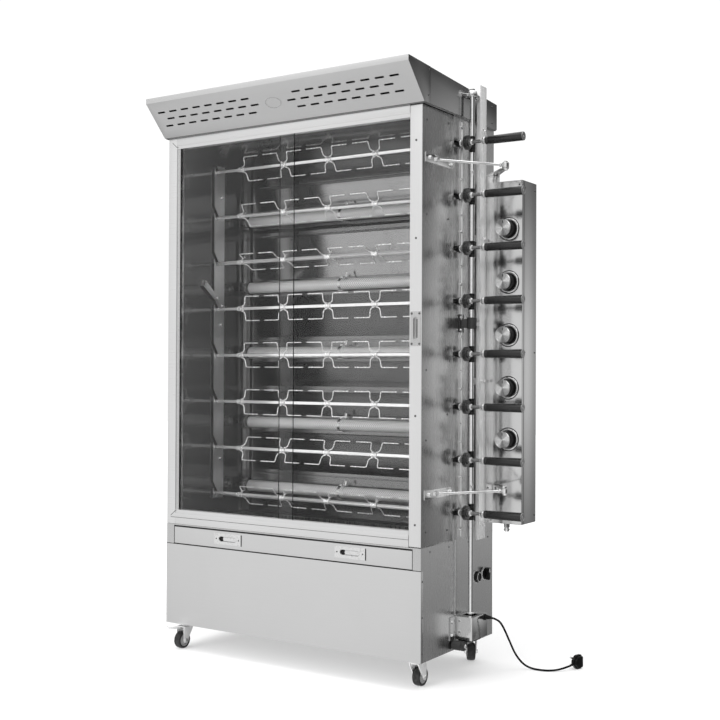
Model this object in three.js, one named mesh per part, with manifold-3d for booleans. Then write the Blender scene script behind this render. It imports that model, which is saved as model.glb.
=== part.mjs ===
// Upright gas rotisserie oven with eight worm-driven spits, in millimetres, +Z up.
// Local layout: x runs right from the cabinet's left side, y runs back from its front, z runs up
// from the floor. The whole group is moved so that the oven stands centred on the origin.
import * as THREE from "three";
import { mergeVertices } from "three/addons/utils/BufferGeometryUtils.js";
import Module from "manifold-3d";

const wasm = await Module();
wasm.setup();

// ---------------------------------------------------------------- driving dimensions
const CABINET_WIDTH = 1104;
const CABINET_DEPTH = 518;
const BASE_BOTTOM = 97;
const BASE_PANEL_TOP = 395;
const BASE_TOP = 470;
const CHAMBER_TOP = 1918;
const OVEN_HEIGHT = 2050;
const SHEET = 2;
const WALL = 20;
const GAP = 0.3;

const FRAME_DEPTH = 24;
const STILE_WIDTH = 55;
const JAMB_WIDTH = 46;
const GLASS_BOTTOM = 524;
const GLASS_TOP = 1877;
const GLASS_THICKNESS = 5;
const GROOVE_DEPTH = 10;

const HOOD_OVERHANG = 112;
const HOOD_SIDE = 12;
const HOOD_LIP = 19;
const HOOD_REAR_HEIGHT = 2013;

const DRAWER_LEFT = 38;
const DRAWER_RIGHT = 1071;
const DRAWER_BOTTOM = 399;
const DRAWER_TOP = 460;
const PULL_CENTRES = [295, 828];

const SPIT_COUNT = 8;
const SPIT_Y = 247;
const SPIT_LOWEST = 564;
const SPIT_PITCH = 180.5;
const SPIT_RADIUS = 6;
const SPIT_ANGLES = [40, -22, -5, 8, 3, 55, 35, 20]; // resting turn of each spit, lowest first
const FORK_FIRST = 150;
const FORK_PITCH = 206;
const FORK_COUNT = 5;
const PRONG_RADIUS = 47;
const PRONG_ROOT = 22;
const PRONG_REACH = 90;
const HANDLE_START = 1193;
const HANDLE_END = 1350;
const HANDLE_RADIUS = 15;

const GEAR_RADIUS = 24.6;
const WORM_RADIUS = 12;
const WORM_LENGTH = 56;
const SHAFT_X = 1138;
const SHAFT_Y = SPIT_Y + GEAR_RADIUS + WORM_RADIUS + 0.4;
const SHAFT_RADIUS = 9;
const SHAFT_BOTTOM = 150;
const SHAFT_TOP = 2022;

const HINGE_X = 1257;
const HINGE_Y = 300;
const HINGE_LEVELS = [641, 1747];
const DOOR_DEPTH = 214;

const BOX_FRONT = 400;
const BOX_RIGHT = 1273;
const BOX_BOTTOM = 515;
const BOX_TOP = 1711;
const KNOB_X = 1221;
const KNOB_LEVELS = [810, 989.5, 1173, 1358, 1543];
const KNOB_FRONT = 352;
const BEZEL_RADIUS = 39;

const LAMP_BUTTON = [388, 323]; // y and z
const BURNER_LEVELS = [582, 839, 1118, 1379, 1646];
const BURNER_Y = 413;
const BURNER_RADIUS = 22;
const LEDGE_LEVELS = [634, 968, 1165, 1582, 1780];
const LEDGE_DEPTH = 28;
const LINER_Y = 440;

const MOTOR_BOX = { left: 1104.3, right: 1171, front: 232, back: 345, bottom: 134, top: 212 };
const GLAND_Y = 326;
const GLAND_Z = 200;

const WHEEL_RADIUS = 32;
const WHEEL_WIDTH = 30;
const WHEEL_SIDES = 24;
const CASTER_TRAIL = 28;
const PEDAL_REACH = 121;
// name, swivel x, swivel y, direction in which the wheel trails, and whether it has a brake
const CASTERS = [
  ["front_left", 50, 60, -90, true],
  ["front_right", 1052, 60, 90, false],
  ["rear_left", 50, 458, 10, true],
  ["rear_right", 1052, 458, 123, false],
];

// ---------------------------------------------------------------- materials
function material(color, roughness, metalness) {
  return new THREE.MeshStandardMaterial({ color, roughness, metalness });
}
const brushedSteel = material(0xc6c6c4, 0.35, 1);
const sideSteel = material(0xa9a9a7, 0.35, 1);
const innerSteel = material(0x9a9a98, 0.25, 1);
const frameMetal = material(0xd2d2d0, 0.3, 1);
const rodSteel = material(0xd8d8d6, 0.2, 1);
const meshSteel = material(0xb8b6b0, 0.5, 1);
const darkSteel = material(0x2c2b2a, 0.5, 0.8);
const blackPlastic = material(0x141414, 0.4, 0);
const rubber = material(0x1a1a1a, 0.7, 0);
const zincSteel = material(0xcfd0d2, 0.3, 1);
const faceAluminium = material(0xd0d0d0, 0.3, 1);
const clearGlass = material(0xdfe6e6, 0.05, 0);
clearGlass.transparent = true;
clearGlass.opacity = 0.3;

// ---------------------------------------------------------------- shapes
function box(x0, x1, y0, y1, z0, z1) {
  const shape = new THREE.BoxGeometry(x1 - x0, y1 - y0, z1 - z0);
  return shape.translate((x0 + x1) / 2, (y0 + y1) / 2, (z0 + z1) / 2);
}

// A cylinder between two points.
function rod(from, to, radius, sides = 16, endRadius = radius) {
  const start = new THREE.Vector3(...from);
  const along = new THREE.Vector3(...to).sub(start);
  const shape = new THREE.CylinderGeometry(endRadius, radius, along.length(), sides);
  shape.translate(0, along.length() / 2, 0);
  const turn = new THREE.Quaternion();
  turn.setFromUnitVectors(new THREE.Vector3(0, 1, 0), along.clone().normalize());
  return shape.applyQuaternion(turn).translate(...from);
}

// A flat outline of [u, v] points, pushed along one axis: "x" takes (y, z), "z" takes (x, y).
function slab(points, axis, from, to) {
  const outline = new THREE.Shape(points.map(([u, v]) => new THREE.Vector2(u, v)));
  const shape = new THREE.ExtrudeGeometry(outline, { depth: to - from, bevelEnabled: false });
  shape.translate(0, 0, from);
  if (axis === "z") return shape;
  const swap = new THREE.Matrix4().set(0, 0, 1, 0, 1, 0, 0, 0, 0, 1, 0, 0, 0, 0, 0, 1);
  return shape.applyMatrix4(swap);
}

function toSolid(geometry) {
  const bare = geometry.clone();
  bare.deleteAttribute("normal");
  bare.deleteAttribute("uv");
  const merged = mergeVertices(bare, 1e-4);
  const mesh = new wasm.Mesh({
    numProp: 3,
    vertProperties: new Float32Array(merged.attributes.position.array),
    triVerts: new Uint32Array(merged.index.array),
  });
  return new wasm.Manifold(mesh);
}

function toGeometry(solid) {
  const mesh = solid.getMesh();
  const geometry = new THREE.BufferGeometry();
  geometry.setAttribute("position", new THREE.BufferAttribute(mesh.vertProperties, 3));
  geometry.setIndex(new THREE.BufferAttribute(mesh.triVerts, 1));
  return geometry;
}

function join(...shapes) {
  return toGeometry(shapes.map(toSolid).reduce((whole, part) => whole.add(part)));
}

function cut(shape, ...tools) {
  return toGeometry(tools.map(toSolid).reduce((whole, tool) => whole.subtract(tool), toSolid(shape)));
}

const oven = new THREE.Group();
const OVEN_MIDDLE_X = (HANDLE_END - HOOD_SIDE) / 2;
const OVEN_MIDDLE_Y = (CABINET_DEPTH - HOOD_OVERHANG) / 2;
oven.position.set(-OVEN_MIDDLE_X, -OVEN_MIDDLE_Y, 0);

function add(name, geometry, finish, parent = oven) {
  const mesh = new THREE.Mesh(geometry, finish);
  mesh.name = name;
  parent.add(mesh);
  return mesh;
}

const CASTER_PLATE = 4;
const W = CABINET_WIDTH;
const D = CABINET_DEPTH;
const spitLevel = (index) => SPIT_LOWEST + index * SPIT_PITCH;
const spitIndexes = [...Array(SPIT_COUNT).keys()];

// ---------------------------------------------------------------- base cabinet and drawer
function makeBase() {
  const postTop = BASE_PANEL_TOP + GAP;
  const front = SHEET + GAP;
  const sheets = [
    box(0, W, front, D, BASE_BOTTOM, BASE_BOTTOM + SHEET),
    box(0, W, front, D, 385, 385 + SHEET),
    box(0, SHEET, front, D, BASE_BOTTOM, BASE_TOP),
    box(W - SHEET, W, front, D, BASE_BOTTOM, BASE_TOP),
    box(0, W, D - SHEET, D, BASE_BOTTOM, BASE_TOP),
    box(0, DRAWER_LEFT - 2, 0, 4, postTop, BASE_TOP),
    box(DRAWER_RIGHT + 2, W, 0, 4, postTop, BASE_TOP),
    box(0, W, 0, 4, DRAWER_TOP + 2, BASE_TOP),
  ];
  for (const [, x, y] of CASTERS) {
    sheets.push(box(x - 38, x + 38, y - 38, y + 38, BASE_BOTTOM - CASTER_PLATE, BASE_BOTTOM + 1));
  }
  const buttonHole = rod([W - 5, ...LAMP_BUTTON], [W + 5, ...LAMP_BUTTON], 7, 16);
  add("base_cabinet", cut(join(...sheets), buttonHole), sideSteel);
  add("base_front_panel", box(0, W, 0, SHEET, BASE_BOTTOM, BASE_PANEL_TOP), brushedSteel);
}

function makeDrawer() {
  const x0 = DRAWER_LEFT + 14;
  const x1 = DRAWER_RIGHT - 13;
  const bottom = DRAWER_BOTTOM + 4;
  const tray = cut(
    box(x0, x1, 14, 480, bottom, 447),
    box(x0 + SHEET, x1 - SHEET, 14 + SHEET, 480 - SHEET, bottom + SHEET, 460),
  );
  const slots = PULL_CENTRES.map((x) => box(x - 40, x + 40, -1, SHEET + 1, 423, 441));
  const front = cut(box(DRAWER_LEFT, DRAWER_RIGHT, 0, SHEET, DRAWER_BOTTOM, DRAWER_TOP), ...slots);
  const arms = [x0, x1 - 40].map((x) => box(x, x + 40, 1, 15, bottom + 2, 440));
  add("drip_drawer", join(tray, front, ...arms), brushedSteel);
}

// ---------------------------------------------------------------- chamber walls
function makeWalls() {
  const bottom = BASE_TOP + GAP;
  const back = D - SHEET - GAP;
  const leftWall = cut(
    box(0, WALL, FRAME_DEPTH + GAP, back, bottom, CHAMBER_TOP),
    box(SHEET, WALL - SHEET, FRAME_DEPTH + GAP + SHEET, D, bottom - 1, CHAMBER_TOP + 1),
  );
  add("left_wall", leftWall, innerSteel);

  const inside = W - WALL;
  const slots = spitIndexes.map((index) => {
    const z = spitLevel(index);
    return box(inside - 1, W + 1, DOOR_DEPTH - 1, SPIT_Y + 8, z - 8, z + 8);
  });
  const rightWall = cut(
    box(inside, W, DOOR_DEPTH + GAP, back, bottom, CHAMBER_TOP),
    box(inside + SHEET, W - SHEET, SPIT_Y + 16, D, bottom - 1, CHAMBER_TOP + 1),
    ...slots,
  );
  add("right_wall", rightWall, sideSteel);

  const liner = [box(WALL + GAP, inside - GAP, LINER_Y, LINER_Y + SHEET, bottom, CHAMBER_TOP)];
  for (const z of LEDGE_LEVELS) {
    liner.push(box(WALL + GAP, inside - GAP, LINER_Y - LEDGE_DEPTH, LINER_Y + 1, z, z + SHEET));
  }
  add("rear_reflector", join(...liner), innerSteel);
  add("rear_cover", box(0, W, D - SHEET, D, bottom, CHAMBER_TOP), sideSteel);

  const side = HOOD_SIDE - SHEET - GAP;
  add("roof_panel", box(-side, W + side, -6, back, CHAMBER_TOP + GAP, 1924), innerSteel);
}

function makeFrontFrame() {
  const right = W - JAMB_WIDTH - 1;
  const frame = join(
    box(0, STILE_WIDTH, 0, FRAME_DEPTH, BASE_TOP + GAP, CHAMBER_TOP),
    box(STILE_WIDTH - 1, right, 0, FRAME_DEPTH, GLASS_TOP, CHAMBER_TOP),
    box(STILE_WIDTH - 1, right, 0, FRAME_DEPTH, BASE_TOP + GAP, GLASS_BOTTOM),
  );
  const grooves = [];
  for (const y of [5, 13.5]) {
    const across = [STILE_WIDTH + 1, right + 1, y, y + GLASS_THICKNESS + 1];
    grooves.push(box(...across, GLASS_TOP - 1, GLASS_TOP + GROOVE_DEPTH));
    grooves.push(box(...across, GLASS_BOTTOM - GROOVE_DEPTH, GLASS_BOTTOM + 1));
  }
  add("front_frame", cut(frame, ...grooves), frameMetal);
}

function makeGlass() {
  const bottom = GLASS_BOTTOM - GROOVE_DEPTH + 1;
  const top = GLASS_TOP + GROOVE_DEPTH - 2;
  add("glass_left", box(57, 582, 5.5, 5.5 + GLASS_THICKNESS, bottom, top), clearGlass);
  add("glass_right", box(513, 1055, 14, 14 + GLASS_THICKNESS, bottom, top), clearGlass);
}

// ---------------------------------------------------------------- hood
function makeHood() {
  const bottom = CHAMBER_TOP + 3;
  const left = -HOOD_SIDE;
  const right = W + HOOD_SIDE;
  const outer = [
    [-10, bottom],
    [-HOOD_OVERHANG, OVEN_HEIGHT - HOOD_LIP],
    [-HOOD_OVERHANG, OVEN_HEIGHT],
    [D, HOOD_REAR_HEIGHT],
    [D, bottom],
  ];
  const inner = [
    [-7, bottom - 1],
    [-HOOD_OVERHANG + SHEET, OVEN_HEIGHT - HOOD_LIP + 1],
    [-HOOD_OVERHANG + SHEET, OVEN_HEIGHT - SHEET],
    [D - SHEET, HOOD_REAR_HEIGHT - SHEET],
    [D - SHEET, bottom - 1],
  ];
  const slots = [];
  for (const [groupStart, shifts] of [[19, [0, 30, 6]], [633, [3, -28, 0]]]) {
    shifts.forEach((shift, row) => {
      for (let slot = 0; slot < 8; slot += 1) {
        const x = groupStart + shift + slot * 56.5;
        const z = 1921 + (107 - row * 29) * 0.73;
        slots.push(box(x, x + 32, -130, -4, z - 3, z + 3));
      }
    });
  }
  const shell = cut(
    slab(outer, "x", left, right),
    slab(inner, "x", left + SHEET, right - SHEET),
    ...slots,
  );
  add("hood", shell, brushedSteel);
}

// ---------------------------------------------------------------- burners and spit rack
function makeBurners() {
  BURNER_LEVELS.forEach((z, index) => {
    const tube = cut(
      join(
        rod([48, BURNER_Y, z], [1062, BURNER_Y, z], BURNER_RADIUS, 16),
        box(WALL + GAP, 60, BURNER_Y - 5, BURNER_Y + 5, z - 5, z + 5),
        box(500, 528, BURNER_Y, LINER_Y - GAP, z - 10, z + 10),
      ),
      rod([60, BURNER_Y, z], [1063, BURNER_Y, z], BURNER_RADIUS - 2, 16),
    );
    add(`burner_${index + 1}`, tube, meshSteel);
  });
}

function makeSpitRack() {
  const plate = box(27, 30, 231, 290, 545, 1852);
  const notches = spitIndexes.map((index) => {
    const z = spitLevel(index);
    const notch = [
      [229, z + 50],
      [229, z + 24],
      [238, z],
      [247, z - 9],
      [256, z],
      [256, z + 8],
    ];
    return slab(notch, "x", 26, 31);
  });
  const strap = slab([[286, 1282], [292, 1296], [170, 1392], [164, 1380]], "x", 29, 33);
  const spacers = [700, 1226, 1730].map((z) => rod([WALL + GAP, 270, z], [28, 270, z], 8, 10));
  add("spit_rack", join(cut(plate, ...notches), strap, ...spacers), innerSteel);
}

// ---------------------------------------------------------------- spits
function makeSpitShape() {
  const parts = [rod([22, 0, 0], [HANDLE_START, 0, 0], SPIT_RADIUS, 8)];
  for (let hub = 0; hub < FORK_COUNT; hub += 1) {
    const x = FORK_FIRST + hub * FORK_PITCH;
    parts.push(box(x - 14, x + 14, -9, 9, -9, 9));
    for (const side of [-1, 1]) {
      const endFork = (hub === 0 && side < 0) || (hub === FORK_COUNT - 1 && side > 0);
      if (endFork) continue;
      const root = x + side * PRONG_ROOT;
      parts.push(box(root - 2, root + 2, -2, 2, -PRONG_RADIUS, PRONG_RADIUS));
      const [x0, x1] = [root - side * 2, x + side * PRONG_REACH].sort((a, b) => a - b);
      for (const z of [-PRONG_RADIUS, PRONG_RADIUS]) {
        parts.push(box(x0, x1, -2, 2, z - 2, z + 2));
      }
    }
  }
  parts.push(rod([SHAFT_X - 20, 0, 0], [SHAFT_X + 11, 0, 0], 11, 10));
  parts.push(rod([SHAFT_X - 7, 0, 0], [SHAFT_X + 7, 0, 0], GEAR_RADIUS, 20));
  return join(...parts);
}

function makeHandleShape() {
  const length = HANDLE_END - HANDLE_START - GAP;
  const profile = [
    [0, 0],
    [9, 0],
    [13, 6],
    [13.5, 16],
    [HANDLE_RADIUS, length - 3],
    [12, length],
    [0, length],
  ];
  const points = profile.map(([radius, along]) => new THREE.Vector2(radius, along));
  return new THREE.LatheGeometry(points, 16).rotateZ(-Math.PI / 2);
}

function makeSpits() {
  const spitShape = makeSpitShape();
  const handleShape = makeHandleShape();
  for (const index of spitIndexes) {
    const number = SPIT_COUNT - index;
    const turn = THREE.MathUtils.degToRad(SPIT_ANGLES[index]);
    const spit = add(`spit_${number}`, spitShape, rodSteel);
    spit.position.set(0, SPIT_Y, spitLevel(index));
    spit.rotation.x = turn;
    const handle = add(`spit_handle_${number}`, handleShape, blackPlastic);
    handle.position.set(HANDLE_START + GAP, SPIT_Y, spitLevel(index));
    handle.rotation.x = turn;
  }
}

// ---------------------------------------------------------------- drive
function makeDriveShaft() {
  const parts = [rod([SHAFT_X, SHAFT_Y, SHAFT_BOTTOM], [SHAFT_X, SHAFT_Y, SHAFT_TOP], SHAFT_RADIUS, 16)];
  for (const index of spitIndexes) {
    const z = spitLevel(index);
    const low = [SHAFT_X, SHAFT_Y, z - WORM_LENGTH / 2];
    parts.push(rod(low, [SHAFT_X, SHAFT_Y, z + WORM_LENGTH / 2], WORM_RADIUS, 20));
  }
  add("drive_shaft", join(...parts), rodSteel);
}

function makeDriveColumn() {
  const bearingLevels = [[1990, 2014], [1192, 1230]];
  const parts = [box(1120, 1134, 352, BOX_FRONT, 459, OVEN_HEIGHT - 2)];
  for (const z of [500, 1000, 1500, 1880]) {
    parts.push(box(W + GAP, 1121, 360, 392, z, z + 24));
  }
  const bores = [];
  for (const [low, high] of bearingLevels) {
    parts.push(box(SHAFT_X - 14, 1134, SHAFT_Y + 8, 353, low + 4, high - 4));
    parts.push(rod([SHAFT_X, SHAFT_Y, low], [SHAFT_X, SHAFT_Y, high], 17, 16));
    const above = [SHAFT_X, SHAFT_Y, high + 1];
    bores.push(rod([SHAFT_X, SHAFT_Y, low - 1], above, SHAFT_RADIUS + 0.4, 16));
  }
  add("drive_column", cut(join(...parts), ...bores), sideSteel);
}

function makeMotor() {
  const m = MOTOR_BOX;
  const cover = cut(
    join(
      box(m.left, m.right, m.front, m.back, m.bottom, m.top),
      box(m.left, m.left + SHEET, m.front - 38, m.back + 20, m.bottom, m.top),
    ),
    box(m.left + SHEET, m.right - SHEET, m.front + SHEET, m.back - SHEET, 100, m.top - SHEET),
    box(1118, 1156, SHAFT_Y - 22, SHAFT_Y + 22, m.top - 5, m.top + 5),
  );
  add("motor_cover", cover, sideSteel);

  const gearbox = join(
    box(1112, 1163, 240, 322, 126, 197),
    box(1114, 1148, 212, 242, 106, 130),
    rod([1108, 214, 118], [1152, 214, 118], 16, 16),
  );
  const seat = [SHAFT_X, SHAFT_Y, SHAFT_BOTTOM - 3];
  const bore = rod(seat, [SHAFT_X, SHAFT_Y, 198], SHAFT_RADIUS + 0.4, 16);
  add("gear_motor", cut(gearbox, bore), darkSteel);
}

// ---------------------------------------------------------------- controls
function makeControlBox() {
  const left = W + GAP;
  const front = BOX_FRONT + GAP;
  const shell = cut(
    box(left, BOX_RIGHT, front, D, BOX_BOTTOM, BOX_TOP),
    box(left - 1, BOX_RIGHT - SHEET, front + SHEET, D - SHEET, BOX_BOTTOM + SHEET, BOX_TOP - SHEET),
  );
  const bezels = [];
  for (const z of KNOB_LEVELS) {
    bezels.push(rod([KNOB_X, 396, z], [KNOB_X, front + 1, z], BEZEL_RADIUS, 20));
  }
  const nipple = rod([1203, 430, 485], [1203, 430, BOX_BOTTOM + 1], 11, 12);
  const brackets = [];
  // The lower plate lies over the door's eye and the upper plate under it.
  for (const [z, side] of [[HINGE_LEVELS[0], 1], [HINGE_LEVELS[1], -1]]) {
    const [low, high] = [z + side * 9.5, z + side * 12.5].sort((a, b) => a - b);
    const plate = [
      [1135, front + 2],
      [1135, 396],
      [1246, 291],
      [1262, 290],
      [1268, 303],
      [1262, 311],
      [1185, front + 2],
    ];
    brackets.push(slab(plate, "z", low, high));
    brackets.push(rod([HINGE_X, HINGE_Y, z - side * 12], [HINGE_X, HINGE_Y, z + side * 12], 4, 12));
  }
  brackets.push(box(1135, 1185, front, front + 2.5, BOX_TOP - 4, HINGE_LEVELS[1] - 9.5));
  add("control_box", join(shell, nipple, ...bezels, ...brackets), brushedSteel);
}

function makeKnobs() {
  const profile = [[0, 0], [26, 0], [28.5, 2], [28.5, 9], [25, 12], [25, 43.5], [0, 43.5]];
  const points = profile.map(([radius, along]) => new THREE.Vector2(radius, along));
  const knobShape = new THREE.LatheGeometry(points, 20);
  KNOB_LEVELS.forEach((z, index) => {
    const knob = add(`gas_knob_${5 - index}`, knobShape, faceAluminium);
    knob.position.set(KNOB_X, KNOB_FRONT, z);
  });
  const button = join(
    rod([W + 4, ...LAMP_BUTTON], [W + 15, ...LAMP_BUTTON], 20, 20, 18),
    rod([W - 8, ...LAMP_BUTTON], [W + 5, ...LAMP_BUTTON], 6.5, 16),
  );
  add("lamp_switch", button, blackPlastic);
  const dial = rod([W + GAP, 455, 324], [W + 8, 455, 324], 20, 20);
  const lever = slab([[449, 303], [461, 303], [465, 345], [445, 345]], "x", W + 6, W + 22);
  add("motor_switch", join(dial, lever), blackPlastic);
}

// ---------------------------------------------------------------- side door
function makeSideDoor() {
  const bottom = BASE_TOP + 3;
  const top = CHAMBER_TOP - 1;
  const jamb = W - JAMB_WIDTH;
  const inside = W - WALL + 2;
  const outline = [
    [jamb, 0],
    [W, 0],
    [W, DOOR_DEPTH],
    [inside, DOOR_DEPTH],
    [inside, FRAME_DEPTH - 2],
    [jamb, FRAME_DEPTH - 2],
  ];
  const shell = cut(
    slab(outline, "z", bottom, top),
    box(jamb + SHEET, W - 3, 3, FRAME_DEPTH - 4, bottom - 1, top + 1),
    box(inside + SHEET, W - 3, FRAME_DEPTH - 2, DOOR_DEPTH - SHEET, bottom - 1, top + 1),
    box(1072, 1090, -1, 4, 1147, 1224),
  );
  const parts = [shell];
  const bores = [];
  for (const z of HINGE_LEVELS) {
    parts.push(box(W - 1, W + 3.5, 19, 209, z - 16, z + 16));
    parts.push(box(W + 2, W + 14, 80, 100, z - 7, z + 7));
    parts.push(rod([W + 8, 89, z], [HINGE_X - 5, HINGE_Y - 7.2, z], 4.5, 10));
    parts.push(rod([HINGE_X, HINGE_Y, z - 9], [HINGE_X, HINGE_Y, z + 9], 12, 12));
    bores.push(rod([HINGE_X, HINGE_Y, z - 10], [HINGE_X, HINGE_Y, z + 10], 4.5, 12));
  }
  add("side_door", cut(join(...parts), ...bores), brushedSteel);
}

// ---------------------------------------------------------------- casters
function makeCasters() {
  const flatRadius = WHEEL_RADIUS / Math.cos(Math.PI / WHEEL_SIDES);
  const wheelShape = cut(
    rod([-WHEEL_WIDTH / 2, 0, 0], [WHEEL_WIDTH / 2, 0, 0], flatRadius, WHEEL_SIDES),
    rod([-20, 0, 0], [20, 0, 0], 4.6, 12),
  );
  wheelShape.rotateX(Math.PI / WHEEL_SIDES);
  const legX = WHEEL_WIDTH / 2 + 1;
  const crownTop = BASE_BOTTOM - CASTER_PLATE - GAP;
  const forkParts = [
    rod([0, 0, crownTop - 10], [0, 0, crownTop], 24, 16),
    box(-legX - 3, legX + 3, -14, CASTER_TRAIL + 12, crownTop - 13, crownTop - 9),
    rod([-legX - 4, CASTER_TRAIL, WHEEL_RADIUS], [legX + 4, CASTER_TRAIL, WHEEL_RADIUS], 4, 12),
  ];
  for (const side of [-1, 1]) {
    const x0 = side > 0 ? legX : -legX - 3;
    const leg = [
      [-14, crownTop - 10],
      [CASTER_TRAIL - 8, WHEEL_RADIUS - 8],
      [CASTER_TRAIL + 8, WHEEL_RADIUS - 8],
      [CASTER_TRAIL + 12, crownTop - 10],
    ];
    forkParts.push(slab(leg, "x", x0, x0 + 3));
  }
  const forkShape = join(...forkParts);
  const pedalShape = join(
    rod([-13, 50, 80], [13, 50, 80], 3, 8),
    slab([[49, 77], [49, 83], [PEDAL_REACH, 93], [PEDAL_REACH, 90]], "x", -13, 13),
  );
  for (const [place, x, y, heading, braked] of CASTERS) {
    const caster = new THREE.Group();
    caster.position.set(x, y, 0);
    caster.rotation.z = THREE.MathUtils.degToRad(heading - 90);
    oven.add(caster);
    add(`caster_fork_${place}`, forkShape, zincSteel, caster);
    const wheel = add(`caster_wheel_${place}`, wheelShape, rubber, caster);
    wheel.position.set(0, CASTER_TRAIL, WHEEL_RADIUS);
    if (braked) add(`brake_pedal_${place}`, pedalShape, zincSteel, caster);
  }
}

// ---------------------------------------------------------------- mains lead
// The lead leaves the gland level, drops to the floor and runs to its plug.
const LEAD_ROUTE = [
  [1189.4, 326, 200], [1200, 327.5, 199], [1210, 333, 195], [1218, 344, 186], [1222, 359, 170],
  [1224, 376, 149], [1226, 394, 124], [1228, 412, 99], [1230, 429, 75], [1234, 445, 53],
  [1241, 459, 34], [1251, 470, 19], [1265, 478, 9], [1283, 481, 4.5], [1303, 481, 4],
  [1323, 484, 4], [1342, 492, 4.5], [1359, 505, 6], [1373, 521, 9], [1385, 539, 13],
  [1394, 552, 17], [1398, 560, 20],
];
const LEAD_RADIUS = 3.5;
const PLUG_ANGLE = 17.5; // the plug's own length axis, from +y towards +x
const PLUG_LENGTH = 44;

function makeLead() {
  const points = LEAD_ROUTE.map((point) => new THREE.Vector3(...point));
  const section = new THREE.Shape();
  for (let side = 0; side < 8; side += 1) {
    const turn = (side * Math.PI) / 4;
    const corner = [LEAD_RADIUS * Math.cos(turn), LEAD_RADIUS * Math.sin(turn)];
    if (side === 0) section.moveTo(...corner);
    else section.lineTo(...corner);
  }
  const path = new THREE.CatmullRomCurve3(points, false, "centripetal");
  const tube = new THREE.ExtrudeGeometry(section, { steps: 40, extrudePath: path });
  add("power_cord", tube, rubber);

  const gland = rod([MOTOR_BOX.right + GAP, GLAND_Y, GLAND_Z], [1188.4, GLAND_Y, GLAND_Z], 8, 12);
  add("cord_gland", gland, blackPlastic);

  const plugShape = join(
    box(-11, 11, 0, PLUG_LENGTH, -23.5, 23.5),
    box(-27, -10, 26, 29, -4, 4),
    box(-25, -10, 10, 13, -15, -9),
    box(-25, -10, 10, 13, 9, 15),
  );
  const plug = add("plug", plugShape, blackPlastic);
  const turn = THREE.MathUtils.degToRad(PLUG_ANGLE);
  plug.rotation.z = -turn;
  plug.position.set(1398 + 1.5 * Math.sin(turn), 560 + 1.5 * Math.cos(turn), 23.6);
}

makeBase();
makeDrawer();
makeWalls();
makeFrontFrame();
makeGlass();
makeHood();
makeBurners();
makeSpitRack();
makeSpits();
makeDriveShaft();
makeDriveColumn();
makeMotor();
makeControlBox();
makeKnobs();
makeSideDoor();
makeCasters();
makeLead();

export default oven;
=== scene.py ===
"""Upright gas rotisserie oven with eight worm-driven spits: its looks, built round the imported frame.

Sizes are in the oven's own millimetres: x runs right from the cabinet's left side, y back from its
front and z up from the floor. Every mesh is written in the frame's metres when its piece is done.
"""
import math

import bmesh
import bpy
from mathutils import Matrix, Vector


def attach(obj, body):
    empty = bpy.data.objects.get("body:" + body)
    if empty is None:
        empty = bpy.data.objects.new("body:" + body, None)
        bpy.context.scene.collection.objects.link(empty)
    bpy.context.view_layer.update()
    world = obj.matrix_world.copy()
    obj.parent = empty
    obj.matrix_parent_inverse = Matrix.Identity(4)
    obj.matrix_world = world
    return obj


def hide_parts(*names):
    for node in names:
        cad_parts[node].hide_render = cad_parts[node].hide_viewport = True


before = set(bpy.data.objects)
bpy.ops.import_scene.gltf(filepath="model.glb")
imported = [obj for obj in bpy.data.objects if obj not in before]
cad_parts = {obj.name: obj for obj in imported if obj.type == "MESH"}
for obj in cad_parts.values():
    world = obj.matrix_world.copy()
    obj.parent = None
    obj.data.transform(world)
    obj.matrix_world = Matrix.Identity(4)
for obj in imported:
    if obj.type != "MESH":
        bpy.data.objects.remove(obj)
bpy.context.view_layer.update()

# ------------------------------------------------------------------ driving sizes
MIDDLE = Vector((669.0, 203.0, 0.0))  # the frame's origin in the oven's own millimetres
MM = 0.001

RIGHT, LEFT, AHEAD, BACK, UP, DOWN = (1, 0, 0), (-1, 0, 0), (0, -1, 0), (0, 1, 0), (0, 0, 1), (0, 0, -1)

CABINET_WIDTH = 1104.0
CABINET_DEPTH = 518.0
BASE_BOTTOM = 97.0
BASE_PANEL_TOP = 395.0
BASE_TOP = 470.0
CHAMBER_TOP = 1918.0
JAMB_LEFT = 1058.0
FRAME_DEPTH = 24.0
GLASS_BOTTOM = 524.0
GLASS_TOP = 1877.0

SPIT_COUNT = 8
SPIT_Y = 247.0
SPIT_LOWEST = 564.0
SPIT_PITCH = 180.5
SPIT_TURNS = (40, -22, -5, 8, 3, 55, 35, 20)  # degrees at rest, lowest spit first
FORK_FIRST = 150.0
FORK_PITCH = 206.0
FORK_COUNT = 5
PRONG_RADIUS = 47.0
HANDLE_START = 1193.3
HANDLE_END = 1350.0

SHAFT_X = 1138.0
SHAFT_Y = 284.0
GEAR_TEETH = 28
HINGE_X = 1257.0
HINGE_Y = 300.0
HINGE_LEVELS = (641.0, 1747.0)

BOX_LEFT = 1104.3
BOX_RIGHT = 1273.0
BOX_FRONT = 400.3
BOX_BOTTOM = 515.0
BOX_TOP = 1711.0
KNOB_X = 1221.0
KNOB_FRONT = 352.0
KNOB_LEVELS = (1543.0, 1358.0, 1173.0, 989.5, 810.0)
BURNER_LEVELS = (582.0, 839.0, 1118.0, 1379.0, 1646.0)
BURNER_Y = 413.0
BURNER_RADIUS = 22.0

WHEEL_RADIUS = 32.0
CASTER_TRAIL = 28.0
CASTERS = {  # swivel x, swivel y, the direction that the wheel trails, in degrees
    "front_left": (50, 60, -90),
    "front_right": (1052, 60, 90),
    "rear_left": (50, 458, 10),
    "rear_right": (1052, 458, 123),
}
BRAKED = ("front_left", "rear_left")


def place(point):
    """A point of the oven's own millimetres, in the frame's metres."""
    return (Vector(point) - MIDDLE) * MM


def spit_level(number):
    """The height of a spit's axis; spit 1 is the highest."""
    return SPIT_LOWEST + (SPIT_COUNT - number) * SPIT_PITCH


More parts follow.
